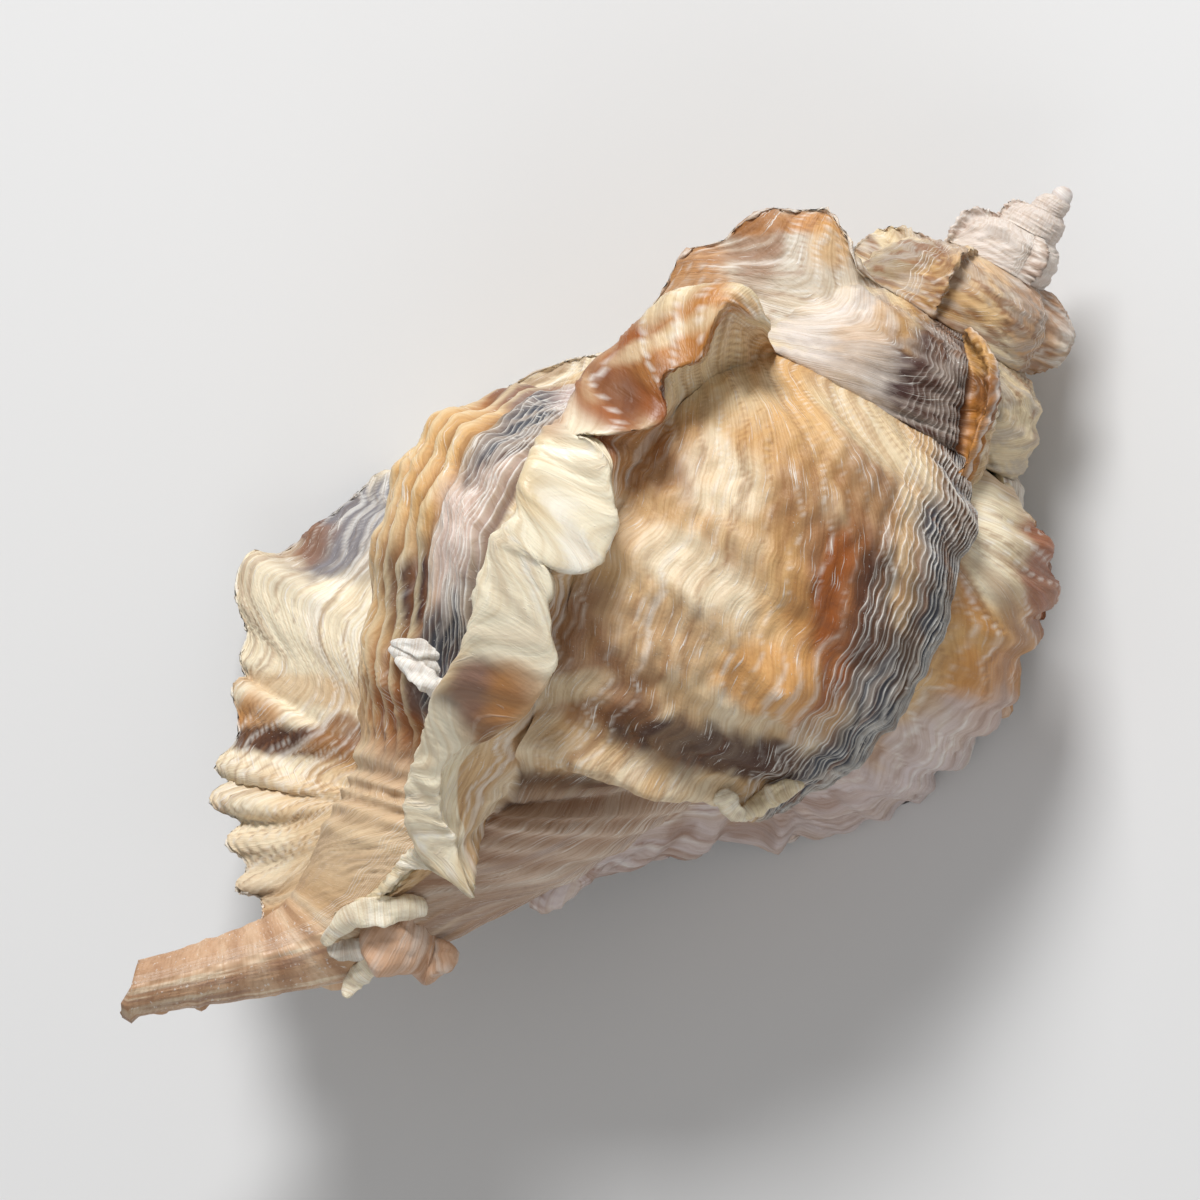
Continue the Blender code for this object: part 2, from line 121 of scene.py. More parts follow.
def fractal(u, v, layer=0):
    """Three layers of the noise, each turned by 37 degrees, twice as fine and half as strong as the one before."""
    total, strength = 0, 0.62
    for turn in (37, 74, 111):
        c, d = math.cos(turn * DEGREE), math.sin(turn * DEGREE)
        total = total + strength * noise(u * c - v * d, u * d + v * c, layer)
        u, v, strength, layer = u * 2.1, v * 2.1, strength / 1.8, layer + 1
    return total


sample = fractal(*np.mgrid[0:20:0.1, 0:20:0.1])
print("noise from", sample.min().round(2), "to", sample.max().round(2))

# %% [markdown]
# ## The coil
#
# A place on the coil has two numbers. The growth angle runs on from whorl to whorl: seen from the back with the apex
# up, 0 is the right side, 90 the back and 180 the left side. The column s runs across the whorl: 0 at the suture, 1
# where the next suture lies, 2 at the ridge round the base, 3 on the neck and 4 at the canal's end. Distances are in
# millimetres: t down the axis from the apex, and a radius from the axis.

# %% The whorls' outlines
SHELL_LENGTH = 105.0
SUTURE = np.array(
    [
        (-2070, 0.02, 0.12),
        (-1980, 0.25, 0.40),
        (-1710, 1.1, 0.75),
        (-1350, 2.8, 1.4),
        (-990, 5.2, 2.6),
        (-630, 9.2, 4.5),
        (-450, 12.2, 5.9),
        (-350, 14.6, 7.2),
        (-270, 16.0, 8.1),
        (-210, 17.3, 9.0),
        (-125, 19.2, 10.5),
        (35, 22.7, 13.2),
        (90, 25.2, 14.4),
        (145, 28.0, 15.0),
        (180, 29.6, 15.2),
        (235, 32.0, 14.6),
    ]
)  # growth angle, t, radius
SPIRE_BULGE = 0.17  # how far a spire whorl stands out, as a share of its width
OUTLINE_COLUMNS = [0, 0.3, 0.65, 1.0, 1.5, 2.0, 2.3, 3.0, 3.5, 4.0]
OUTLINES = {
    -125: [(19.2, 10.5), (22.5, 13.2), (27, 14.6), (32, 14.6), (39, 12.6), (46, 10.0), (52, 8.6), (66, 7.4)],
    -60: [(20.3, 11.4), (24, 13.4), (29, 14.0), (34.5, 13.8), (42, 12.6), (50, 10.6), (55, 9.2), (68, 7.6)],
    0: [(21.6, 12.7), (25.6, 17.0), (30.5, 19.2), (36.5, 19.8), (45, 18.8), (54, 15.6), (57.5, 11.4), (71, 8.0)],
    45: [(23.1, 13.5), (27.5, 18.6), (33, 21.2), (39, 22.0), (50, 21.0), (57.8, 16.4), (62, 11.6), (74, 8.0)],
    90: [(25.2, 14.4), (29.5, 19.6), (35.5, 22.4), (42, 23.4), (53, 22.4), (63, 16.6), (68, 11.4), (78, 8.0)],
    135: [(27.5, 14.9), (32.5, 19.0), (38, 22), (44.5, 24.6), (56, 24.4), (68, 16.8), (73, 11.8), (81, 8.4)],
    180: [(29.6, 15.2), (34.5, 18.6), (39.6, 20.4), (46, 25.4), (56, 26.6), (69, 18.6), (75, 12.6), (82.5, 8.6)],
    235: [(32.0, 14.6), (36.5, 18.2), (42, 20.8), (48, 23.4), (58, 23.6), (69, 17.4), (75, 12.4), (82.5, 8.6)],
}  # growth angle: t and radius at each column
CANAL_ROOT = (91.0, 4.6)
CANAL_END = (SHELL_LENGTH, 2.7)
LAST_WHORL_STARTS = -125.0
CUT_SLANT = 0.8  # the canal bends, so its end is cut aslant to the axis by this much
CUT_BACK = 1.2  # and this much sooner
CENTRE_LINE = np.array(
    [(0, 0, 0), (55, 0, 0), (66, 0.6, -0.2), (80, 3.0, -0.5), (90, 6.0, 0), (97, 10.6, 0.4), (SHELL_LENGTH, 16.4, 1.0)]
)  # t, and how far the axis bends sideways and up
print("the last whorl is read at", len(OUTLINES), "growth angles")

# %% [markdown]
# The spire's whorls all have one outline, a bowed line from suture to suture. The last whorl's are read from the table.
# Either is then carried round the axis, which bends sideways along the canal.

# %% Points on the coil


def suture(angle):
    """t and radius of the line where a whorl meets the one before it, on a curve through the table."""
    return through(angle, SUTURE[:, 0], SUTURE[:, 1:])


def spire_outline(angle, s):
    """The straight chord from one suture to the next one below, bowed outwards by a share of its length."""
    top, foot = suture(angle), suture(angle + 360)
    chord = foot - top
    out = np.stack([-chord[..., 1], chord[..., 0]], -1)
    bow = SPIRE_BULGE * through(s, [0, 0.3, 0.65, 1.0], [0, 0.95, 0.75, 0])
    return top + chord * s[..., None] + out * bow[..., None]


def last_outline(angle, s):
    """The outlines are read at each column with one curve, then blended over the growth angle with another."""
    angles = sorted(OUTLINES)
    table = np.array([OUTLINES[a] + [CANAL_ROOT, CANAL_END] for a in angles], float)
    columns = through(s, OUTLINE_COLUMNS, table.transpose(1, 0, 2))
    return np.stack([through(angle[..., i], angles, columns[i]) for i in range(len(s))], -2)


def bend(t):
    """How far the centre line lies sideways and up at t, on a curve through its points."""
    return through(t, CENTRE_LINE[:, 0], CENTRE_LINE[:, 1:])


def place(outline, angle):
    """x = radius cos(angle), z = radius sin(angle) round the bent centre line, and y = -t."""
    t, radius = outline[..., 0], outline[..., 1]
    off = bend(t)
    x = radius * np.cos(angle * DEGREE) - off[..., 0]
    return np.stack([x, -t, radius * np.sin(angle * DEGREE) + off[..., 1]], -1)


def squared(outline, angle, s):
    """Towards the canal's end t also changes with radius cos(angle), which turns the cut square to the bent tube."""
    shift = (CUT_SLANT * outline[..., 1] * np.cos(angle * DEGREE) - CUT_BACK) * smooth(s, 3.3, 4.0)
    return np.stack([outline[..., 0] + shift, outline[..., 1]], -1)


def coil(angle, s, sunk=0.0):
    """Points of the bare whorls: the spire's outline above the last whorl and the measured ones on it, less the sunk
    depth, carried round the axis. angle's last axis has one value for each column in s."""
    angle = np.broadcast_to(angle, np.broadcast_shapes(np.shape(angle), s.shape)).astype(float)
    late = last_outline(np.maximum(angle, LAST_WHORL_STARTS), s)
    early = spire_outline(angle, np.clip(s, 0, 1))
    outline = np.where(((angle < LAST_WHORL_STARTS) & (s <= 1))[..., None], early, late)
    outline = squared(outline, angle, s)
    outline[..., 1] -= sunk
    return place(outline, angle)


print("the shoulder at the back", coil(90.0, np.array([0.65])).round(1))

# %% [markdown]
# ## The wings
#
# A wing is a fold in the surface. Its back face carries on from the whorl, and its front face was once the inside of
# the lip. Each row of a table below is one column of the fold: the growth angles of its back foot and its front toe,
# the free edge, and the crest where the front face turns over. The three big wings and two of the spire's were measured
# one by one. The points are (t, sideways, up), where sideways is positive on the lip's side.

# %% The measured wings
LIP_WING = [
    (0.00, 226, 246, 33.0, 16.0, -14.5, 33.2, 15.0, -15.5),
    (0.30, 222, 242, 37.0, 21.5, -17.5, 37.4, 20.5, -18.8),
    (0.65, 217, 237, 43.0, 25.0, -20.5, 43.2, 24.0, -21.8),
    (1.00, 212, 232, 49.5, 26.4, -22.0, 49.6, 25.6, -23.3),
    (1.20, 209, 229, 55.2, 27.0, -22.4, 55.2, 26.2, -23.6),
    (1.30, 207, 227, 57.0, 28.7, -22.6, 57.0, 27.9, -23.8),
    (1.45, 205, 225, 60.2, 29.3, -22.4, 60.2, 28.5, -23.6),
    (1.60, 203, 223, 64.2, 30.0, -22.0, 64.2, 29.2, -23.2),
    (1.78, 200, 220, 68.0, 30.9, -21.0, 68.0, 30.1, -22.2),
    (1.90, 198, 218, 70.1, 32.5, -20.4, 70.1, 31.7, -21.6),
    (2.04, 196, 216, 73.3, 31.1, -19.4, 73.3, 30.3, -20.6),
    (2.14, 195, 214, 74.5, 28.5, -18.8, 74.5, 27.7, -20.0),
    (2.28, 193, 212, 77.2, 27.2, -17.8, 77.2, 26.4, -19.0),
    (2.34, 192, 211, 77.9, 25.7, -17.4, 77.9, 25.0, -18.6),
    (2.39, 192, 210, 78.9, 26.0, -17.0, 78.9, 25.2, -18.2),
    (2.50, 191, 209, 80.9, 24.1, -16.0, 80.9, 23.4, -17.2),
    (2.60, 190, 208, 82.6, 22.9, -15.0, 82.6, 22.2, -16.1),
    (2.70, 189, 207, 85.2, 22.5, -14.0, 85.2, 21.8, -15.1),
    (2.78, 189, 206, 84.9, 20.9, -13.2, 84.9, 20.2, -14.3),
    (2.86, 188, 205, 87.6, 21.2, -12.2, 87.6, 20.5, -13.2),
    (2.96, 188, 204, 87.3, 18.0, -11.0, 87.2, 17.4, -11.9),
    (3.06, 187, 203, 89.4, 17.6, -9.6, 89.4, 17.0, -10.5),
    (3.15, 187, 202, 89.6, 15.3, -8.4, 89.5, 14.8, -9.2),
    (3.26, 186, 201, 91.7, 14.4, -6.8, 91.6, 13.9, -7.6),
    (3.38, 186, 200, 91.0, 12.5, -5.0, 91.0, 12.2, -5.8),
    (3.52, 186, 198, 92.4, 10.8, -2.8, 92.4, 10.6, -3.4),
]
BACK_WING = [
    (0.00, 133, 150, 26.4, 11.8, 21.0, 25.8, 12.4, 21.6),
    (0.04, 133, 150, 26.7, 13.1, 22.2, 25.0, 14.3, 22.4),
    (0.07, 133, 150, 26.8, 14.7, 23.2, 25.3, 15.8, 22.6),
    (0.11, 132, 150, 27.6, 15.4, 23.6, 26.6, 17.2, 22.4),
    (0.15, 132, 150, 29.3, 15.1, 23.8, 28.1, 18.4, 21.8),
    (0.21, 132, 150, 32.1, 14.1, 24.0, 29.8, 19.2, 21.2),
    (0.28, 131, 150, 33.5, 14.8, 24.0, 31.8, 19.5, 20.6),
    (0.36, 130, 149, 35.0, 15.5, 24.2, 33.8, 19.7, 20.2),
    (0.46, 129, 148, 36.5, 14.8, 24.8, 36.1, 19.8, 20.2),
    (0.56, 128, 147, 37.4, 13.4, 25.4, 38.1, 19.9, 20.4),
    (0.65, 126, 146, 39.0, 13.4, 25.8, 39.7, 19.8, 21.0),
    (0.75, 125, 146, 41.6, 15.5, 26.2, 41.4, 19.7, 21.8),
    (0.85, 123, 145, 43.7, 17.5, 26.6, 43.6, 19.4, 23.6),
    (0.90, 122, 144, 43.3, 16.2, 27.2, 44.2, 19.4, 24.6),
    (0.95, 122, 143, 43.5, 14.5, 27.4, 44.8, 19.4, 25.2),
    (1.02, 120, 142, 44.7, 13.3, 27.5, 45.6, 19.2, 25.6),
    (1.08, 119, 141, 45.8, 11.6, 27.3, 46.4, 18.8, 26.2),
    (1.15, 118, 140, 47.2, 10.2, 27.0, 47.8, 18.2, 26.8),
    (1.22, 117, 139, 49.1, 9.4, 27.0, 49.7, 17.5, 27.2),
    (1.29, 116, 138, 50.7, 9.3, 27.0, 50.8, 16.6, 27.4),
    (1.35, 116, 137, 52.2, 10.2, 27.2, 51.9, 16.2, 27.3),
    (1.40, 115, 136, 53.1, 11.3, 27.3, 52.9, 16.6, 27.0),
    (1.45, 114, 135, 53.6, 12.8, 27.2, 53.9, 16.8, 26.7),
    (1.50, 113, 133, 53.8, 11.5, 27.0, 54.6, 16.7, 26.4),
    (1.55, 112, 132, 54.8, 10.6, 26.8, 55.6, 16.2, 26.2),
    (1.60, 112, 131, 55.8, 10.4, 26.5, 56.6, 15.7, 26.0),
    (1.66, 111, 129, 57.2, 8.7, 26.0, 58.3, 15.0, 25.4),
    (1.74, 110, 127, 58.9, 6.8, 25.2, 60.2, 13.6, 24.8),
    (1.83, 108, 125, 61.8, 6.0, 23.8, 62.6, 12.6, 23.6),
    (1.92, 106, 123, 64.5, 5.9, 22.0, 65.4, 12.2, 21.8),
    (2.00, 104, 120, 67.9, 7.1, 20.0, 68.0, 12.0, 19.6),
    (2.08, 103, 118, 69.6, 7.8, 18.4, 69.8, 11.4, 18.0),
    (2.16, 102, 117, 71.9, 7.9, 16.6, 71.5, 10.7, 16.2),
    (2.26, 100, 115, 73.8, 6.6, 15.2, 73.4, 10.0, 14.8),
    (2.38, 98, 113, 75.3, 4.8, 14.0, 75.2, 9.1, 13.4),
    (2.50, 97, 112, 75.7, 3.3, 13.4, 77.0, 7.6, 12.6),
    (2.60, 96, 110, 77.1, 1.9, 12.8, 78.2, 6.2, 11.8),
    (2.68, 95, 109, 78.6, -1.3, 12.4, 78.9, 4.6, 11.2),
    (2.76, 94, 108, 78.5, 1.6, 11.2, 79.1, 4.6, 10.8),
    (2.88, 93, 107, 79.8, 4.0, 10.0, 79.8, 5.4, 9.8),
    (3.10, 90, 104, 83.5, 4.6, 8.3, 83.5, 5.4, 8.1),
    (3.35, 88, 100, 87.5, 6.2, 6.2, 87.5, 6.8, 6.0),
]
SIDE_WING = [
    (0.00, 30, 52, 23.2, -11.6, 6.6, 23.2, -12.2, 7.6),
    (0.12, 28, 51, 23.4, -14.6, 5.2, 23.4, -15.4, 6.2),
    (0.22, 26, 50, 24.0, -16.8, 4.0, 23.9, -17.6, 5.0),
    (0.36, 23, 48, 25.6, -19.6, 1.8, 25.4, -20.4, 2.8),
    (0.48, 21, 47, 26.8, -21.0, 0.4, 26.5, -21.8, 1.4),
    (0.66, 18, 44, 29.6, -21.8, -1.8, 29.4, -22.6, -0.8),
    (0.82, 15, 42, 32.6, -22.4, -3.6, 32.5, -23.2, -2.6),
    (0.98, 12, 39, 35.2, -23.8, -5.4, 35.1, -24.6, -4.4),
    (1.08, 9, 37, 36.6, -24.9, -6.4, 36.5, -25.6, -5.4),
    (1.24, 6, 34, 40.0, -23.9, -8.0, 40.0, -24.7, -7.0),
    (1.34, 4, 31, 41.5, -24.8, -8.8, 41.5, -25.5, -7.8),
    (1.46, 2, 28, 43.9, -23.7, -9.8, 43.9, -24.5, -8.8),
    (1.56, 0, 26, 45.9, -24.0, -10.4, 45.9, -24.8, -9.4),
    (1.68, -3, 22, 47.9, -24.1, -11.2, 47.9, -24.8, -10.2),
    (1.78, -5, 20, 50.0, -22.6, -11.8, 50.0, -23.4, -10.8),
    (1.88, -8, 17, 52.4, -22.2, -12.2, 52.4, -22.9, -11.2),
    (2.00, -11, 13, 55.1, -19.9, -12.4, 55.1, -20.7, -11.4),
    (2.10, -13, 9, 57.6, -18.4, -12.4, 57.6, -19.1, -11.4),
    (2.20, -16, 6, 59.5, -16.6, -12.4, 59.5, -17.4, -11.4),
    (2.32, -18, 3, 62.0, -13.2, -12.0, 62.0, -14.0, -11.0),
    (2.45, -20, 0, 64.6, -12.2, -11.4, 64.6, -12.9, -10.4),
    (2.65, -23, -4, 68.2, -9.3, -10.2, 68.2, -10.0, -9.2),
    (2.85, -25, -7, 72.1, -7.1, -8.4, 72.1, -7.7, -7.4),
    (2.96, -26, -9, 74.7, -6.8, -7.0, 74.7, -7.3, -6.0),
    (3.05, -26, -10, 75.8, -4.0, -5.0, 75.9, -4.4, -4.2),
    (3.10, -26, -10, 75.0, -3.0, -4.0, 75.0, -3.2, -3.6),
]
LEFT_SPIRE_WING = [
    (0.00, -222, -204, 17.4, 9.2, 8.4, 17.5, 9.0, 7.9),
    (0.06, -222, -204, 16.0, 11.2, 8.0, 16.2, 11.0, 7.3),
    (0.11, -222, -204, 15.5, 12.9, 7.4, 15.8, 12.6, 6.6),
    (0.18, -222, -203, 15.3, 14.3, 7.0, 15.7, 13.9, 6.0),
    (0.28, -221, -203, 16.9, 16.1, 6.7, 17.2, 15.6, 5.6),
    (0.38, -221, -202, 18.5, 18.2, 6.4, 18.8, 17.6, 5.2),
    (0.48, -220, -202, 20.5, 19.0, 6.2, 20.7, 18.4, 5.0),
    (0.60, -220, -201, 22.8, 19.2, 5.8, 22.9, 18.6, 4.6),
    (0.74, -219, -200, 25.7, 21.0, 4.8, 25.8, 20.4, 3.6),
    (0.90, -218, -199, 29.8, 20.2, 3.8, 29.8, 19.6, 2.6),
    (1.00, -218, -199, 32.7, 20.0, 2.8, 32.7, 19.4, 1.8),
]
BACK_SPIRE_WING = [
    (0.00, -292, -278, 14.9, -1.4, 10.2, 15.3, -1.2, 10.4),
    (0.20, -296, -283, 15.4, -4.2, 12.0, 15.8, -3.7, 12.4),
    (0.40, -301, -289, 16.8, -5.9, 13.0, 17.2, -5.2, 13.5),
    (0.60, -306, -294, 19.0, -7.4, 13.6, 19.3, -6.7, 14.2),
    (0.75, -310, -298, 21.0, -8.0, 13.8, 21.2, -7.3, 14.4),
    (0.90, -314, -301, 23.9, -9.1, 13.4, 24.0, -8.4, 14.0),
    (1.00, -317, -303, 26.9, -9.6, 12.6, 26.8, -9.0, 13.2),
]
SMALL_WINGS = [
    (-1250, 0.45, -12, 20),
    (-1130, 0.6, -12, 18),
    (-1010, 0.9, -12, 16),
    (-905, 1.1, -12, 14),
    (-800, 1.2, -12, 14),
    (-705, 2.4, -16, 16),
    (-595, 1.9, -18, 14),
    (-510, 2.0, -12, 12),
    (-420, 2.4, -14, 12),
    (-95, 1.8, -14, 12),
]  # growth angle, height, how far the wing falls back across the whorl, width of its foot
print("the lip's wing is read at", len(LIP_WING), "columns, the back wing at", len(BACK_WING))

# %% [markdown]
# A measured wing gives its fold at any column by reading the table with the smooth curve. A small one is worked out:
# it stands straight out from the whorl, leans back a little and dies out at both sutures. Both give the same five
# things, so the rest of the lesson doesn't need to know which kind it has.

# %% Read a wing at the columns
TOWARDS_XYZ = (-1, -1, 1)  # (sideways, t, up) times this is (x, y, z)


def measured_wing(rows, lift, under):
    """Returns a function of the columns that gives back, front, edge, crest and how much of the wing is there: 1 inside
    the table's range, falling to 0 within 0.12 of a column beyond it."""
    rows = np.array(rows, float)

    def at(s):
        values = through(s, rows[:, 0], rows[:, 1:])
        edge = values[:, [3, 2, 4]] * TOWARDS_XYZ
        crest = values[:, [6, 5, 7]] * TOWARDS_XYZ
        there = 1 - smooth(s, rows[-1, 0], rows[-1, 0] + 0.12)
        return values[:, 0], values[:, 1], edge, crest, there

    return {"at": at, "lift": lift, "under": np.array(under, float)}


def small_wing(angle, height, fall, width):
    """The edge is the foot plus the height along the outward direction, less a quarter of it along the growth
    direction, times sin(pi s)^0.6. The crest lies up to half a millimetre ahead of it."""

    def at(s):
        inner = np.clip(s, 0, 1)
        middle = angle + fall * inner
        back, front = middle - 0.35 * width, middle + 0.65 * width
        foot = coil(middle - 0.3 * width, s)
        out = unit(foot * (1, 0, 1))
        ahead = unit(coil(middle + 1, s) - coil(middle - 1, s))
        tall = height * (np.sin(math.pi * (0.1 + 0.86 * inner)) ** 0.6)[:, None]
        edge = foot + tall * (out - 0.25 * ahead) + tall * (1 - inner)[:, None] * (0, 0.25, 0)
        crest = edge + min(0.5, 0.2 + 0.1 * height) * ahead
        return back, front, edge, crest, 1 - smooth(s, 1.0, 1.25)

    return {"at": at, "lift": 0.1, "under": np.zeros(3)}


WINGS = {f"small_{-row[0]}": small_wing(*row) for row in SMALL_WINGS}
WINGS["back_spire"] = measured_wing(BACK_SPIRE_WING, 0.1, (0, 0, -0.3))
WINGS["left_spire"] = measured_wing(LEFT_SPIRE_WING, 0.1, (0, 0, -0.1))
WINGS["side"] = measured_wing(SIDE_WING, 0.05, (0, 0, -0.2))
WINGS["back"] = measured_wing(BACK_WING, 0.1, (0, 0, -0.9))
WINGS["lip"] = measured_wing(LIP_WING, -0.05, (0, 0, -0.2))
print(len(WINGS), "wings")

# %% Fold a wing
FOLD = [0, 0.2, 0.44, 0.5, 0.62, 0.84, 1.0]  # foot, back's middle, under the edge, edge, crest, front's middle, toe
THINNEST = 0.9  # millimetres from face to face at the middle


def fold(wing, s, h):
    """Rows of the fold at the heights h: a curve through the seven stations of FOLD. The back's middle is the mean of
    foot and edge, lifted by a share of the height, and the front's middle is kept THINNEST ahead of it. Where the wing
    isn't there, the rows lie on the bare whorl."""
    back, front, edge, crest, there = wing["at"](s)
    foot, toe = coil(back, s), coil(front, s)
    out = unit(foot - coil(back, s, 1.0))
    back_middle = (foot + edge) / 2 + wing["lift"] * np.linalg.norm(edge - foot, axis=-1, keepdims=True) * out
    waist = coil((back + front) / 2, s)
    waist += unit(waist - coil((back + front) / 2, s, 1.0)) * 0.3 * np.linalg.norm(crest - waist, axis=-1)[:, None]
    waist = (waist + (crest + toe) / 2) / 2
    ahead = unit(toe - foot)
    thick = ((waist - back_middle) * ahead).sum(-1, keepdims=True)
    waist += ahead * np.maximum(0, THINNEST - thick)
    stations = np.stack([foot, back_middle, edge + wing["under"], edge, crest, waist, toe])
    bare = np.stack([coil(back + (front - back) * share, s) for share in FOLD])
    stations = bare + (stations - bare) * there[:, None]
    return through(h, FOLD, stations)


print("the lip's edge on the shoulder", fold(WINGS["lip"], np.array([0.65]), [0.5]).round(1))

# %% [markdown]
# ## Growing the rows
#
# Between two wings the rows run evenly over the whorl. Just in front of a wing the snail starts again slowly: the new
# shell comes in crowded plates, each ending in a small ledge that faces forwards. A displacement texture would blur
# such ledges, so their rows are placed one by one: a slow rise, and then a drop within a twentieth of a millimetre.

# %% Rows between two wings
STEP = 0.36  # rows and columns are this far apart, in millimetres
SPIRE_STEP = 0.34
DROP = 0.05


def plate_rows(plates):
    """Distances from the toe, how high the surface stands there, and how near it is to a plate's rim: each plate rises
    with the square of the way along it and drops at its end."""
    distance, rise, rim, start = [0.0], [0.0], [0.0], 0.0
    for end, height in plates:
        for share in (0.3, 0.6, 0.85, 1.0):
            distance.append(start + DROP + (end - start - DROP) * share)
            rise.append(height * share**2)
            rim.append(share)
        distance.append(end + DROP)
        rise.append(0.0)
        rim.append(0.5)
        start = end
    return np.array(distance), np.array(rise), np.array(rim)


def whorl_rows(length, plates, step):
    """The same three numbers for all the rows over a stretch of whorl: the plates first, then even steps."""
    distance, rise, rim = plate_rows([plate for plate in plates if plate[0] < length * 0.7])
    even = np.linspace(distance[-1], length, max(3, int((length - distance[-1]) / step)))[1:]
    return np.concatenate([distance, even]), np.concatenate([rise, 0 * even]), np.concatenate([rim, 0 * even])


def crowd(count, spacing, height, seed):
    """A run of plates: spacing grows by 0.08 of itself each, heights fall to a fifth, and both are a little uneven."""
    pick = np.random.default_rng(seed)
    ends = np.cumsum(spacing * (1 + 0.08 * np.arange(count)) * pick.uniform(0.7, 1.3, count))
    heights = height * np.linspace(1, 0.2, count) * pick.uniform(0.5, 1.2, count)
    return list(zip(ends, heights))


PLATES = {
    "small": crowd(4, 0.5, 0.14, 1),
    "back_spire": crowd(12, 0.42, 0.36, 2),
    "left_spire": crowd(8, 0.6, 0.3, 3),
    "side": crowd(20, 0.3, 0.45, 4),
    "back": crowd(12, 0.42, 0.7, 5),
}  # in front of each wing: distance of the ledge, height
print("plates in front of the side wing reach", round(PLATES["side"][-1][0], 1), "mm")

# %% [markdown]
# Growth lines wave, because the ribs that run round the whorl pull them forwards. The pull is written as an angle, so
# a row stays on the whorl, and it fades out towards the next wing.
#
# Every point also keeps what it knows about its growth: its angle, how far it is from the last wing's toe, the way
# through a fold, the plates' rise and rim, and the length of shell laid down so far. Relief, colours and the material
# all read these instead of a picture.

# %% Lay the rows


def wave(v, layer=0):
    """How far a growth line is pulled forwards, in millimetres, at a distance v across the whorl: a sine of 5.2 mm, one
    of 2.3 mm, and noise."""
    sines = 0.42 * np.sin(2 * math.pi * v / 5.2 + layer) + 0.16 * np.sin(2 * math.pi * v / 2.3)
    return sines + 0.5 * noise(v / 4, v * 0, layer)


def whorl_part(s, v, last, previous, back, run, step):
    """Rows from the last toe to the next wing's back foot: the angle goes evenly from one to the other, plus the wave
    times sin(pi share^0.7) exp(-distance / 14). Returns the stretch's length and the points' fields."""
    size = np.linalg.norm(coil(back, s)[:, [0, 2]], axis=1)
    length = (np.abs(back - previous) * DEGREE * size).max()
    scale = min(1.0, size.max() / 12)
    plates = [(end * scale, height * scale) for end, height in PLATES.get(last, PLATES["small"])]
    distance, rise, rim = (field[:, None] for field in whorl_rows(length, plates, step))
    share = distance / length
    pulled = wave(v, len(last)) * scale * np.sin(math.pi * share**0.7) * np.exp(-distance / 14)
    angle = previous + (back - previous) * share + pulled / np.maximum(size, 3) / DEGREE
    whole = np.ones(angle.shape)
    fields = {"points": coil(angle, s), "angle": angle, "since": whole * distance, "fold": -whole}
    return length, fields | {"run": run + whole * distance, "rise": whole * rise, "rim": whole * rim}


def wing_part(s, wing, run, step):
    """Rows through the fold, 2.4 times its height apart by the step. Its length counts as 2.2 times its height."""
    back, front, edge, _, there = wing["at"](s)
    height = np.linalg.norm(edge - coil(back, s), axis=1) * there
    h = np.linspace(0, 1, max(9, int(2.4 * height.max() / step)))[:, None]
    rows = fold(wing, s, h[:, 0])
    whole = np.ones(rows.shape[:2])
    fields = {"points": rows, "angle": back + (front - back) * h, "since": 0 * whole, "fold": whole * h}
    return 2.2 * height, fields | {"run": run + 2.2 * height * h, "rise": 0 * whole, "rim": 0 * whole}


def grow(s, v, wings, start, step=STEP):
    """Lays rows of lip over the whorl, wing after wing. Returns the fields for every point, and the name of each row's
    wing. The first row of a later stretch is the last wing's toe, so it isn't laid twice."""
    parts, names, last, run = [], [], "small", np.zeros(s.shape)
    previous = np.broadcast_to(np.asarray(start, float), s.shape)
    for name, wing in wings:
        length, whorl = whorl_part(s, v, last, previous, wing["at"](s)[0], run, step)
        kept = slice(1 if parts else 0, -1)
        parts.append({key: field[kept] for key, field in whorl.items()})
        names += [last] * len(parts[-1]["rise"])
        run = run + length
        length, folded = wing_part(s, wing, run, step)
        parts.append(folded)
        names += [name] * len(folded["rise"])
        run = run + length
        last, previous = name, wing["at"](s)[1]
    grown = {key: np.concatenate([part[key] for part in parts]) for key in parts[0]}
    return grown | {"name": np.array(names)}


print("the wave reaches", wave(np.linspace(0, 60, 200)).max().round(2), "mm")

# %% [markdown]
# The columns are spread evenly over the lip's length, from the suture to the canal's end. The spire only needs the
# first of them, up to the next suture.

# %% Columns


def columns(count, end):
    """count columns from 0 to end, spread evenly over the length of the lip at the back of the last whorl, and their
    distances across the whorl in millimetres."""
    fine = np.linspace(0, 4, 801)
    lip = coil(np.full(801, 90.0), fine)
    along = np.concatenate([[0], np.cumsum(np.linalg.norm(np.diff(lip, axis=0), axis=1))])
    reach = np.interp(end, fine, along)
    return np.interp(np.linspace(0, reach, count), along, fine), np.linspace(0, reach, count)


LIP_LENGTH = columns(2, 4.0)[1][-1]
s_spire, v_spire = columns(44, 1.0)
s_last, v_last = columns(int(LIP_LENGTH / STEP), 4.0)
print("lip", round(LIP_LENGTH, 1), "mm", len(s_last), "columns")

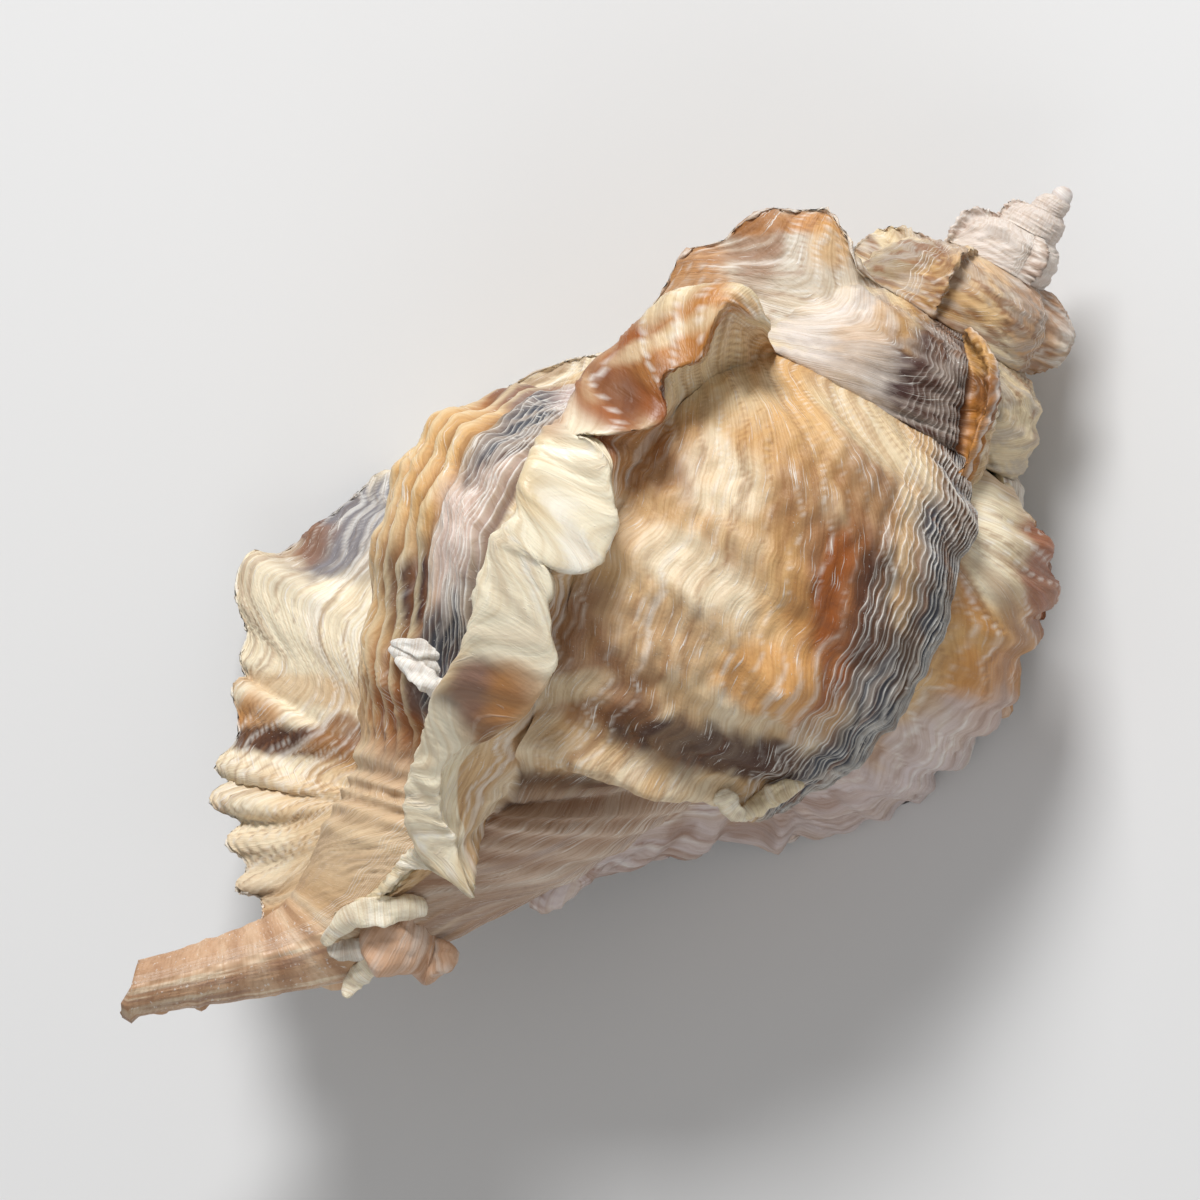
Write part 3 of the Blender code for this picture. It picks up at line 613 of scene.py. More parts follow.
# %% Grow the shell
FIRST_ANGLE = -2060.0
UNDER_THE_LIP = -225.0  # where the columns below the suture start, inside the aperture
NECK_STARTS = -116.0  # and those of the neck and canal, just under the seam
LAST_WINGS = ("small_95", "side", "back", "lip")
spire_wings = [item for item in WINGS.items() if item[0] not in LAST_WINGS]
last_wings = [(name, WINGS[name]) for name in LAST_WINGS]
spire = grow(s_spire, v_spire, spire_wings, FIRST_ANGLE, SPIRE_STEP)
toe = spire_wings[-1][1]["at"](s_last)[1]
start = np.where(s_last <= 1, toe, toe + (UNDER_THE_LIP - toe) * smooth(s_last, 1.0, 1.3))
start = start + (NECK_STARTS - UNDER_THE_LIP) * smooth(s_last, 2.2, 2.6)
last = grow(s_last, v_last, last_wings, start)
print("spire", spire["points"].shape, "last whorl", last["points"].shape)

# %% [markdown]
# ## Relief
#
# The big shape is done, so what is left is less than two millimetres high: ledges, ribs, cords and knobs. A bump in the
# material would do for the finest, but these break the outline and cast shadows. Each kind is a short formula of what
# the points know, so the fields first get short names, and the ones that many formulas share are worked out once.

# %% What the points know


def facts(grown, s, v):
    """The fields by name. t and w give the place as seen from above, h the way through a fold, u and v the millimetres
    along and across the growth. whorl and wing are 1 on the one and 0 on the other, arch is sin(pi h), canal goes from
    0 to 1 where the neck ends, body is 1 away from the axis, and pulled and bent are since and u with the growth
    lines' waves added."""
    at = SimpleNamespace(**grown, s=s, h=grown["fold"], u=grown["run"], v=np.broadcast_to(v, grown["run"].shape))
    at.name = at.name[:, None]
    at.t, at.w = -at.points[..., 1], -at.points[..., 0]
    at.whorl = (at.h < 0) * 1.0
    at.wing = 1 - at.whorl
    at.arch = np.sin(math.pi * np.clip(at.h, 0, 1))
    at.canal = smooth(s, 3.1, 3.5)
    off = bend(at.t)
    at.body = smooth(np.hypot(at.w - off[..., 0], at.points[..., 2] - off[..., 1]), 8, 15)
    at.pulled = at.since + 0.8 * wave(at.v, 4) + 0.5 * noise(at.v / 3, at.since / 5, 5)
    at.bent = at.u + 0.8 * wave(at.v, 2)
    return at


spire_at = facts(spire, s_spire, v_spire)
last_at = facts(last, s_last, v_last)
print("the last whorl is", last_at.u.max().round(), "mm of growth")

# %% Ledges and ribs


def ledges(at):
    """The plates' rise times 0.75, and noise times 0.45 of it."""
    return at.rise * (0.75 + 0.45 * noise(at.v / 2.5, at.since / 2, 2))


def ribs(at):
    """Sines of the pulled distance: 2.9 mm apart on the stretch behind the lip's wing, which fade in and out again, and
    faint ones 2.1 mm apart on the body. Noise makes them uneven."""
    way = 2 * math.pi * at.pulled
    strong = 0.42 * np.sin(way / 2.9) * smooth(at.since, 5, 8) * (1 - smooth(at.since, 22, 26)) * (at.name == "back")
    faint = 0.10 * np.sin(way / 2.1) * smooth(at.since, 6, 9) * (at.name == "side")
    return (strong + faint) * smooth(at.s, 0.1, 0.4) * (0.8 + 0.5 * noise(at.v / 6, at.u / 5, 4))


print("ledges up to", ledges(last_at).max().round(2), "mm, ribs up to", ribs(last_at).max().round(2), "mm")

# %% Cords, fingers and knobs
CORDS = [(0.34, 0.5), (0.62, 0.8), (0.93, 0.6), (1.22, 0.9), (1.48, 0.6), (1.72, 0.8), (2.03, 0.9)]  # column, height
NECK_CORDS = [(2.36, 0.7), (2.52, 0.8), (2.68, 0.8), (2.84, 0.7), (3.0, 0.5)]
FINGERS = [(1.0, 0.3), (1.3, 0.4), (1.62, 0.4), (1.9, 0.9), (2.14, 0.5)]  # on the back of the lip's wing
FINGERS += [(2.39, 0.9), (2.7, 0.8), (2.86, 0.6), (3.06, 0.5), (3.26, 0.5)]
# t, sideways, radius, height
KNOBS = [(48.4, -8.8, 3.2, 1.9), (23.2, 3.7, 3.0, 1.3), (51.8, -10.6, 1.8, -1.2), (19.5, 13.5, 1.8, 0.5)]


def bells(s, places, width):
    """Bell curves of the column, one for each place, each with its own height."""
    return sum(tall * np.exp(-(((s - place) / width) ** 2)) for place, tall in places)


def cords(at):
    """Bell curves that run round the whorls and the neck, 0.85 of them on a whorl and at most 0.35 on a wing."""
    body = bells(at.s, CORDS, 0.085) * (0.7 + 0.6 * noise(at.v / 9, at.u / 7, 6)) * at.body
    neck = bells(at.s, NECK_CORDS, 0.05) * (0.75 + 0.4 * noise(at.v / 5, at.u / 6, 7))
    return (body + neck) * (0.85 * at.whorl + 0.35 * at.wing * (1 - at.arch**2))


def fingers(at):
    """Bell curves that go out to the points of the lip's edge, on its back face."""
    on_back = smooth(at.h, 0, 0.4) * (1 - smooth(at.h, 0.46, 0.56))
    return bells(at.s, FINGERS, 0.06) * (at.name == "lip") * at.wing * on_back


def knobs(at):
    """Bell curves of the distance from each knob, on the side that is seen."""
    seen = (at.points[..., 2] > 2) * at.whorl
    away = [((at.t - t) ** 2 + (at.w - w) ** 2) / (0.6 * radius**2) for t, w, radius, _ in KNOBS]
    return sum(knob[-1] * np.exp(-far) * seen for knob, far in zip(KNOBS, away))


print("cords up to", cords(last_at).max().round(2), "mm, knobs up to", knobs(last_at).max().round(2), "mm")

# %% Swells, grain, grooves and pleats
EARLY = ["small", "small_420", "small_510", "small_595", "small_705", "back_spire", "left_spire"]


def swells(at):
    """Broad noise on the whorls."""
    return 0.8 * fractal(at.v / 5 + 3, at.u / 6.5, 0) * at.body * at.whorl * (1 - smooth(at.s, 3.0, 3.4))


def grain(at):
    """Fine noise: even on most of the shell, drawn out along the canal, and rougher on the worn spire."""
    even = (0.14 * noise(at.v / 1.1, at.u / 1.6, 1) + 0.07 * noise(at.v / 0.6, at.u / 0.6, 3)) * (1 - 0.8 * at.canal)
    drawn = 0.09 * noise(at.v / 0.9, at.u * 0, 1) * at.canal
    return even + drawn + 0.25 * fractal(at.v / 1.6, at.u / 2.4, 4) * np.isin(at.name, EARLY) * smooth(at.t, 6, 14)


def grooves(at):
    """1.1 mm deep along a big wing's toe: a bell curve on the whorl, and the smooth step on the wing's front."""
    big = np.isin(at.name, ["side", "back", "left_spire", "back_spire"]) * at.body
    deep = 1.1 * np.exp(-((at.since / 0.7) ** 2)) * at.whorl + 1.1 * smooth(at.h, 0.86, 1.0) * at.wing
    return -deep * big * (1 - smooth(at.s, 2.6, 3.0))


def pleats(at):
    """On the wings, growth lines as sines 1.15 mm apart. The side wing gets wide pleats too: sines of 4.6 and 2.9 mm
    across the growth, and noise."""
    lines = 0.12 * np.sin(2 * math.pi * at.bent / 1.15)
    wide = 0.45 * (np.sin(2 * math.pi * at.v / 4.6) + 0.6 * np.sin(2 * math.pi * at.v / 2.9 + 1))
    wide = wide + 0.5 * fractal(at.v / 3, at.u / 3, 6)
    return (lines + wide * (at.name == "side")) * at.arch


print("grooves down to", grooves(last_at).min().round(2), "mm, pleats up to", pleats(last_at).max().round(2), "mm")

# %% [markdown]
# The sum of all these heights moves each point along its normal, which a grid gives us as the cross product of its two
# directions. One place needs more: below the ridge round the base, the neck is hollow and the ridge hangs over it.

# %% Carve the relief


def normals(points):
    """The cross product of the steps along the rows and along the columns, at unit length, pointing outwards."""
    return unit(np.cross(np.gradient(points, axis=0), np.gradient(points, axis=1)))


def relief(at):
    """The sum of all heights. Ledges and ribs end at the neck, and everything fades in from the apex over six
    millimetres."""
    high = (ledges(at) + ribs(at)) * (1 - smooth(at.s, 2.1, 2.5))
    high = high + sum(kind(at) for kind in (cords, fingers, knobs, swells, grain, grooves, pleats))
    return high * np.clip(0.1 + at.t / 6, 0, 1)


def carve(at):
    """Each point plus its normal times the relief, of which 0.3 is left at the suture. The ridge and the hollow are
    bell curves of the column that move the surface 2.2 mm out and 3.8 mm in."""
    high = relief(at) * (0.3 + 0.7 * smooth(at.s, 0, 0.06))
    window = smooth(at.angle, 10, 50) * (1 - smooth(at.angle, 112, 128)) * at.whorl
    ridge = bells(at.s, [(2.06, 1)], 0.09) * window
    hollow = bells(at.s, [(2.36, 1)], 0.16) * window
    out = unit(at.points * (1, 0, 1))
    points = at.points + normals(at.points) * high[..., None]
    return points + out * (2.2 * ridge - 3.8 * hollow)[..., None] - (0, 0.5, 0) * ridge[..., None]


spire_grid = carve(spire_at)
spire_grid[0] = spire_grid[0].mean(0) + (0, 0.2, 0)  # the first row is drawn together to a point
last_grid = carve(last_at)
print("highest point", last_grid[..., 2].max().round(1), "mm above the axis")

# %% [markdown]
# ## Inside the lip, and round the canal
#
# The front of the newest wing turns in and becomes the wall of the aperture. It runs back behind the lip, and then
# closes on the pillar in the middle. Below the aperture the lip's two sides meet and close the canal into a tube.

# %% Aperture wall and canal
WALL = 1.8
HOLLOW = 100.0  # degrees that the wall runs back
DEEPEST = 22
PILLAR = 2.0  # its radius
CANAL_SEAM = 262.0


def aperture_wall(s, front):
    """Rows that go back from the front toe at growing depth, then sink to the pillar. The outermost columns sink
    sooner, so that both sides close."""
    turn = np.concatenate([np.linspace(0, 6, 10), np.linspace(8, HOLLOW, 44)])
    deep = np.concatenate([WALL * smooth(turn, 0, 5), np.linspace(WALL + 1.5, DEEPEST, 12)])[:, None]
    turn = np.concatenate([turn, np.full(12, HOLLOW)])[:, None]
    angle = front - turn
    outline = last_outline(angle, s)
    side = 8 * smooth(s, 2.0, 2.3) * smooth(turn, 0, 5)
    outline[..., 1] = np.maximum(outline[..., 1] - deep - side, PILLAR)
    return place(outline, angle)


def canal_wrap(s, front):
    """Rows that go on from 5 degrees under the front toe round to the seam, where they dip under the canal's other
    side. The columns beside the aperture dip at once."""
    share = np.linspace(0, 1, 36)[:, None]
    angle = front - 5 + (CANAL_SEAM - front + 5) * share
    begun = smooth(share, 0, 0.15)
    dip = 0.9 * smooth(share, 0.8, 1) + 0.08 * (1 - begun) + 9 * (1 - smooth(s, 2.12, 2.4)) * begun
    outline = squared(last_outline(angle, s), angle, s)
    outline[..., 1] = np.maximum(outline[..., 1] - dip, 0.5)
    return place(outline, angle)


front = WINGS["lip"]["at"](s_last)[1]
inside = s_last < 2.3
beyond = s_last > 2.12
wall = aperture_wall(s_last[inside], front[inside])
wrap = canal_wrap(s_last[beyond], front[beyond])
print("wall", wall.shape, "canal", wrap.shape)

# %% [markdown]
# The borders need care. Neighbouring whorls overlap at the suture, so each grid gets one more column there, sunk into
# the shell. At the canal's end the sheet turns in over the rim and runs back up inside, so the tube looks as thick as
# it is. The tip was worn off long ago, and a small closed nub stands for it.

# %% Borders and tip
APEX_CLOSED = 1.2  # down to here the first column runs in to the axis
END_RINGS = [(0.3, -0.15), (0.5, 0.4), (0.6, 4.0)]  # share of the way in, and how far up the tube


def sunk(column, inward):
    """A column of points drawn towards the shell's axis by the share inward."""
    return column * (1 - inward, 1, 1 - inward)


def end_turned_in(grid):
    """Three more columns beyond the last: its points drawn towards the tube's middle, the last two also moved up it."""
    edge = grid[:, -1:]
    off = bend(-edge[..., 1])
    middle = np.stack([-off[..., 0], edge[..., 1], off[..., 1]], -1)
    rings = [edge + (middle - edge) * share + np.array([0.75, 1.0, 0]) * up for share, up in END_RINGS]
    return np.concatenate([grid, *rings], 1)


def trimmed(grid, inward, outer=False):
    """The grid with one more column before the suture. A spire gets another after its far side and runs in to the axis
    at the tip, and a last whorl has its end turned in."""
    first = sunk(grid[:, :1], inward)
    if outer:
        first[grid[:, 0, 1] > -APEX_CLOSED] *= (0, 1, 0)
        return np.concatenate([first, grid, sunk(grid[:, -1:], inward)], 1)
    return np.concatenate([first, end_turned_in(grid)], 1)


def widened(field, outer=False):
    """A field with its border columns repeated, to go with a trimmed grid."""
    return np.concatenate([field[:, :1], field, *[field[:, -1:]] * (1 if outer else len(END_RINGS))], 1)


def nub():
    """Rings over a half circle: radius 0.92 sin, length 1.0 cos, and 5 hundredths more on one side, which turns on from
    ring to ring like a coil."""
    over = np.linspace(0, math.pi, 40)[:, None]
    round_it = np.linspace(0, 2 * math.pi, 61)
    flat = np.sin(over) * (1 + 0.05 * np.cos(round_it - 2.5 * over))
    y = -1.05 + 1.0 * np.cos(over) + 0 * round_it
    return np.stack([0.92 * flat * np.cos(round_it), y, -0.92 * flat * np.sin(round_it)], -1)


wrap = end_turned_in(wrap)
tip = nub()
print("the nub is", np.ptp(tip[..., 0]).round(2), "mm across")

# %% [markdown]
# ## Leftovers of older lips
#
# Some leftovers of older lips still cling to the shell: a frilled white spine beside the back wing, a torn edge below
# the body, curled flakes, and the stump of the canal before this one. Each is a closed tube along a short route on the
# surface, flattened, tapered and crumpled with noise.

# %% Routes on the surface
LEFTOVERS = {
    "spine_high": ([(63.4, 12.3), (65.2, 15.0), (66.9, 18.2)], 1.0, 0.5, 1.2, "white"),
    "spine_middle": ([(65.1, 11.9), (66.2, 14.6), (67.4, 18.0)], 1.4, 0.5, 1.0, "white"),
    "spine_low": ([(67.1, 11.6), (67.3, 14.2), (67.6, 17.0)], 1.1, 0.5, 0.9, "white"),
    "curl": ([(81.8, 1.1), (84.1, 3.4), (86.7, 5.6), (90.1, 5.8)], 1.5, 0.5, 0.4, "cream"),
    "curl_low": ([(85.4, 1.3), (87.4, 2.7), (89.3, 4.0), (90.0, 5.4)], 1.2, 0.5, 0.1, "stone"),
    "stump": ([(86.4, 4.4), (85.9, 1.4), (84.9, -1.6), (83.3, -3.4)], 3.0, 2.0, -0.3, "pink"),
    "fin": ([(87.6, 1.5), (90.3, 1.8), (92.3, 1.4)], 1.1, 0.4, 0.2, "cream"),
    "torn_left": ([(57.9, -10.9), (58.7, -12.5), (58.5, -14.3)], 1.1, 0.7, 0.3, "cream"),
    "torn_right": ([(58.6, -13.6), (56.2, -14.4), (54.4, -15.0), (53.1, -15.9)], 1.1, 0.7, 0.3, "ivory"),
}  # route (t, sideways), half width, half thickness, how far it stands off, colour
LOWEST = -99.0
upper = last_grid[last_grid[..., 2] > 0]


def ground(t, w):
    """The highest point of the shell's surface within a millimetre of each place."""
    near = np.hypot(upper[:, 1] + t[:, None], upper[:, 0] + w[:, None]) < 1.0
    return np.where(near, upper[:, 2], LOWEST).max(1)


def laid_route(u, route, off):
    """A curve through the route at the shares u. Its height is a curve through the ground at four places, kept within
    two millimetres of the lowest, plus off."""
    middle = through(u, np.linspace(0, 1, len(route)), route)
    height = ground(*middle[[0, 20, 40, 59]].T)
    height = np.where(height < 0, height.max() - 1, height)
    height = through(u, [0, 0.35, 0.68, 1], np.minimum(height, height.min() + 2.0)) + off
    return np.stack([-middle[:, 1], -middle[:, 0], height], -1)


print("the ground under the stump is at", ground(*np.array(LEFTOVERS["stump"][0]).T).round(1))

# %% Tubes along the routes


def leftover(route, half_width, half_thick, off, seed):
    """Rings round the route: half width times cos and half thickness times sin of the way round. Along it they are
    (4u(1 - u))^0.4 times (1.1 - u / 2), and noise pushes them about."""
    u = np.linspace(0, 1, 60)
    line = laid_route(u, route, off)
    ahead = unit(np.gradient(line, axis=0))
    aside = unit(np.cross(ahead, (0.0, 0.0, 1.0)))
    above = np.cross(aside, ahead)
    u = u[:, None]
    turn = np.linspace(0, 2 * math.pi, 41)
    full = np.maximum(4 * u * (1 - u), 0) ** 0.4 * (1.1 - 0.5 * u)
    crumple = 1 + 0.35 * fractal(u * 5 + seed, np.cos(turn) * 1.5 + 5, seed) + 0.04 * np.sin(u * 31 + seed)
    flat = half_width * full * crumple * np.cos(turn)
    tall = half_thick * full * crumple * np.sin(turn)
    tall = tall + 0.35 * half_width * np.sin(u * 11 + seed) * np.cos(turn) ** 2 * full
    return line[:, None] + flat[..., None] * aside[:, None] + tall[..., None] * above[:, None]


tubes = {name: leftover(*shape, seed) for seed, (name, (*shape, _)) in enumerate(LEFTOVERS.items())}
print(len(tubes), "leftovers")

# %% [markdown]
# ## Colours
#
# A shell's colour is laid down with it, so it runs in bands along the growth lines and along the ribs. Painting on a
# photograph would fix one view, so the colours are mixed by rules instead. Each rule gives layers, a colour's name and
# how strongly it covers, and the layers go on one after the other. They are stored at the vertices, and the material
# adds what is finer than the mesh.
# A few layers are painted shade, not the shell's colour: under the base's ridge, in toe grooves, atop the lip's wing.

# %% Colours by name
COLOURS = {
    "ivory": (230, 215, 180),
    "cream": (240, 230, 204),
    "honey": (212, 166, 102),
    "tan": (196, 156, 106),
    "peach": (216, 162, 98),
    "blush": (208, 176, 134),
    "rust": (150, 82, 26),
    "rust_light": (194, 132, 62),
    "umber": (74, 44, 30),
    "umber_light": (138, 90, 50),
    "plum": (62, 34, 34),
    "plum_light": (124, 98, 92),
    "lilac": (204, 190, 188),
    "stone": (206, 198, 184),
    "slate": (66, 70, 80),
    "slate_light": (128, 124, 128),
    "white": (240, 238, 232),
    "pink": (206, 168, 138),
    "grey": (176, 164, 154),
    "pearl": (222, 214, 210),
}


def linear(name):
    """The colour of that name as the light it reflects: ((c + 0.055) / 1.055)^2.4."""
    return ((np.array(COLOURS[name]) / 255 + 0.055) / 1.055) ** 2.4


def mixed(colour, name, weight):
    """The colour going over to the named one by the weight, which is kept between 0 and 1."""
    weight = np.clip(weight, 0, 1)[..., None]
    return colour * (1 - weight) + linear(name) * weight


def show(title, layers):
    """Prints the mean of each layer's weight on the last whorl."""
    means = [f"{name} {np.clip(weight, 0, 1).mean():.3f}" for name, weight in layers(last_at)]
    print(title, *means, sep=", ")


print(len(COLOURS), "colours, ivory reflects", linear("ivory").round(2))

# %% [markdown]
# The shell is split into zones, which the wings part from one another. All the rules share a stripe along the growth
# lines, broad clouds, and a waver that makes the edges of things uneven.

# %% Zones, stripes and clouds


def zones(at):
    """Where each zone lies: true or false for every point."""
    upper_names = ["small_420", "small_510", "small_595", "small_705"]
    return {
        "body": (at.name == "side") & (at.h < 0) | (at.name == "back") & (at.h >= 0) & (at.h < 0.3),
        "side_front": (at.name == "side") & (at.h >= 0) | (at.name == "small") & (at.t > 40),
        "ribbon": (at.name == "back") & (at.h >= 0.3),
        "whorl": (at.name == "back") & (at.h < 0),
        "lip": at.name == "lip",
        "penult": (at.name == "left_spire") & (at.h < 0) | (at.name == "small_95"),
        "spire_front": (at.name == "back_spire") & (at.h >= 0.3),
        "left_wing": (at.name == "left_spire") & (at.h >= 0),
        "upper": np.isin(at.name, upper_names) | (at.name == "back_spire") & (at.h < 0),
    }


for at in (spire_at, last_at):
    at.where = zones(at)
    stripe = 0.6 * noise(at.bent / 1.3, at.v / 16, 0) + 0.5 * noise(at.bent / 0.6, at.v / 11, 1)
    at.stripe = stripe * (1 - at.canal) + at.canal * noise(at.v / 0.7, 0 * at.u, 1)
    at.broad = 1.3 * fractal(at.u / 9, at.v / 7, 2)
    at.waver = 0.42 * fractal(at.u / 3, at.v / 4, 3) + 0.10 * at.stripe
    at.bright = 1 - 0.75 * (at.name == "back_spire")  # how much of the white and grey shows
print("zones on the last whorl:", {zone: round(float(there.mean()), 2) for zone, there in last_at.where.items()})

# %% Ground colours and the body's stripes
GROUNDS = [("body", "honey", 0.5), ("body", "blush", 0.6), ("lip", "cream", 0.75), ("side_front", "honey", 0.5)]
GROUNDS += [("ribbon", "ivory", 0.7), ("whorl", "tan", 0.7), ("penult", "stone", 0.95), ("upper", "ivory", 0.7)]
GROUNDS += [("left_wing", "stone", 0.7), ("spire_front", "rust_light", 0.8)]


def ground_layers(at):
    """Clouds of tan, a ground for each zone, a pearly tip and a pink canal."""
    yield "tan", 0.55 + 0.4 * at.broad
    for zone, name, strength in GROUNDS:
        yield name, strength * at.where[zone]
    yield "pearl", 0.8 * (1 - smooth(at.t, 9, 13))
    yield "pink", 0.75 * smooth(at.t, 86, 92)


def body_layers(at):
    """Brown between the cords and cream on them, then clouds of cream and plum."""
    body = at.where["body"]
    cord = bells(at.s, [(place, 1) for place, _ in CORDS], 0.09)
    yield "umber_light", 0.36 * body * (0.6 - cord) * smooth(at.broad, -0.4, 0.6)
    yield "cream", 0.5 * body * (cord - 0.2) * smooth(at.stripe, -0.8, 0.7)
    yield "cream", 0.55 * body * smooth(fractal(at.u / 5 + 9, at.v / 9, 1), 0.05, 0.5)
    yield "plum_light", 0.45 * body * smooth(fractal(at.u / 5, at.v / 7 + 4, 6), 0.15, 0.6)


show("grounds", ground_layers)
show("body", body_layers)

# %% [markdown]
# What no rule gives is listed one by one: soft patches, each of them long and narrow and turned to lie along the
# growth.
# A patch only covers its own zone, so a dark wing doesn't spill over on the whorl below it.

# %% Patches
# t and sideways place of the middle, half length and half width, turn in degrees, colour, how strong it is
PATCHES = {
    "body": [
        (40.8, 13.0, 4.7, 3.3, 84, "rust", 0.75),
        (32.7, 8.2, 9.3, 5.9, 79, "honey", 0.65),
        (32.7, 13.3, 6.1, 4.1, 79, "ivory", 0.75),
        (44.5, 8.1, 2.9, 6.9, 29, "tan", 0.5),
        (55.8, 5.6, 7.3, 3.7, 49, "umber_light", 0.65),
        (48.3, 0.9, 5.9, 3.9, 49, "blush", 0.6),
        (37.3, 2.5, 3.9, 7.8, 39, "tan", 0.5),
        (36.4, -1.2, 2.9, 5.9, 49, "umber_light", 0.45),
        (41.2, -8.6, 3.5, 7.8, 54, "rust", 0.9),
        (38.3, 6.2, 3.9, 2.5, 84, "cream", 0.6),
        (45.7, 3.1, 5.9, 2.3, 84, "cream", 0.55),
        (42.6, -4.4, 2.2, 5.9, 49, "honey", 0.5),
        (40.3, -12.2, 2.0, 6.9, 54, "umber", 0.8),
        (31.0, -3.5, 2.5, 4.5, 34, "umber_light", 0.6),
        (48.6, -7.3, 3.3, 2.9, 49, "peach", 0.8),
        (56.5, -6.3, 8.8, 2.0, 67, "umber", 0.85),
        # Painted shade: the next two umber patches darken the body along the ridge round the base, where shade falls.
        (52.6, -15.2, 5.9, 1.8, 61, "umber", 0.85),
        (59.1, 1.6, 5.9, 1.6, 49, "umber_light", 0.5),
        (27.3, 0.0, 5.4, 2.0, -89, "ivory", 0.6),
        (61.8, 6.0, 4.9, 1.4, 39, "ivory", 0.5),
    ],
    "side_front": [
        (28.6, -19.2, 4.9, 7.8, 39, "rust", 1.0),
        (28.2, -15.7, 2.3, 4.9, 39, "ivory", 0.8),
        (23.3, -12.4, 2.9, 2.5, 49, "ivory", 0.7),
        (34.8, -21.2, 3.9, 4.9, 49, "honey", 0.6),
        (27.7, -14.5, 1.4, 4.9, 39, "cream", 0.7),
        (37.0, -22.6, 2.9, 3.9, 29, "rust_light", 0.7),
        (42.5, -23.4, 5.9, 2.9, 19, "lilac", 0.8),
        (51.9, -20.3, 12.7, 3.1, 41, "lilac", 0.85),
        (68.6, -8.9, 11.7, 3.9, 37, "lilac", 0.9),
    ],
    "ribbon": [
        (26.2, 15.0, 4.9, 2.5, 59, "ivory", 0.9),
        (35.8, 16.3, 7.2, 4.9, 14, "rust", 1.0),
        (31.3, 15.6, 4.9, 2.9, 14, "rust_light", 0.8),
        (37.6, 15.8, 2.2, 4.9, 89, "umber", 0.35),
        (41.4, 17.0, 5.1, 2.0, 39, "rust", 0.85),
        (38.8, 17.2, 1.6, 3.3, 9, "umber", 0.5),
        (33.0, 17.6, 4.9, 0.8, 24, "ivory", 0.6),
        (46.2, 14.0, 4.5, 6.1, 39, "cream", 1.0),
        (56.5, 12.9, 6.1, 5.9, 29, "cream", 1.0),
        (60.1, 8.6, 3.9, 2.9, 29, "cream", 0.8),
        (65.8, 8.8, 3.7, 3.3, 29, "umber_light", 0.85),
        (66.0, 10.3, 1.6, 2.9, 69, "plum_light", 0.6),
        (63.6, 6.7, 2.5, 2.9, 49, "rust_light", 0.4),
        (68.4, 10.7, 1.2, 1.6, 49, "plum", 0.8),
        (75.0, 6.9, 3.3, 7.8, 57, "cream", 0.95),
    ],
    "whorl": [
        (46.3, 26.2, 4.5, 1.6, 39, "rust", 0.75),
        (43.0, 21.8, 4.9, 1.6, 54, "plum_light", 0.75),
        (51.6, 22.8, 5.9, 4.9, 29, "honey", 0.7),
        (62.4, 19.6, 2.3, 3.7, 49, "plum", 0.9),
        (67.9, 14.3, 4.5, 3.3, 49, "umber_light", 0.7),
        (72.6, 11.9, 2.7, 4.9, 49, "rust", 0.75),
        (66.8, 11.8, 2.9, 2.5, 49, "umber", 0.5),
        (76.7, 8.9, 3.9, 2.9, 49, "rust_light", 0.6),
        (81.7, 6.8, 5.9, 5.9, 49, "honey", 0.5),
    ],
    "lip": [
        # Painted shade: the two slate_light patches grey the top of the lip's wing, which lies in shade.
        (63.1, 28.5, 5.9, 2.9, 21, "slate_light", 1.0),
        (65.6, 29.2, 3.3, 1.4, 21, "umber_light", 0.6),
        (62.8, 26.0, 2.9, 2.9, 49, "slate_light", 0.5),
        (74.5, 27.1, 3.3, 8.8, 49, "cream", 0.6),
        (80.0, 22.9, 2.3, 1.8, 49, "rust_light", 0.8),
        (79.2, 18.9, 5.9, 1.1, 53, "umber", 1.0),
        (75.2, 14.7, 3.9, 2.0, 49, "umber_light", 0.8),
        (75.2, 21.4, 7.8, 1.2, 55, "tan", 0.5),
        (83.8, 10.6, 8.8, 6.9, 19, "honey", 0.45),
        (88.3, 15.7, 2.9, 3.9, 49, "cream", 0.6),
    ],
    "upper": [
        (23.6, 4.3, 7.2, 5.5, 79, "pearl", 0.75),
        (22.0, 4.3, 2.5, 2.2, 49, "tan", 0.45),
        (21.1, -3.2, 3.9, 9.0, 44, "plum", 0.95),
        (13.2, 2.0, 5.9, 3.9, 19, "honey", 0.6),
        (11.1, -5.7, 2.3, 3.9, 49, "rust_light", 0.6),
        (7.9, 1.0, 3.9, 1.4, 69, "ivory", 0.6),
        (7.2, -1.7, 3.9, 1.2, 79, "umber_light", 0.7),
        (14.4, 6.6, 3.9, 1.4, 29, "umber", 0.5),
    ],
    "penult": [
        (18.4, 7.7, 5.9, 2.0, 64, "honey", 0.55),
        (25.5, 8.3, 3.9, 3.9, 49, "stone", 0.7),
        (19.2, 3.6, 3.9, 1.8, 69, "honey", 0.6),
        (19.3, 1.8, 1.6, 3.9, 49, "rust", 0.6),
    ],
    "spire_front": [
        (18.5, -6.2, 1.8, 5.9, 37, "umber_light", 0.85),
        (15.5, -2.7, 2.0, 2.2, 49, "honey", 0.8),
        (22.7, -7.9, 2.0, 4.9, 37, "rust_light", 0.7),
    ],
    "left_wing": [
        (21.8, 17.1, 8.8, 2.9, 49, "stone", 0.6),
        (18.6, 16.6, 8.8, 1.0, 49, "rust_light", 0.8),
        (27.1, 19.3, 2.9, 3.9, 4, "rust_light", 0.7),
        (16.2, 11.9, 2.0, 2.9, -86, "honey", 0.6),
        (21.0, 16.7, 2.0, 3.9, 69, "umber_light", 0.5),
    ],
}


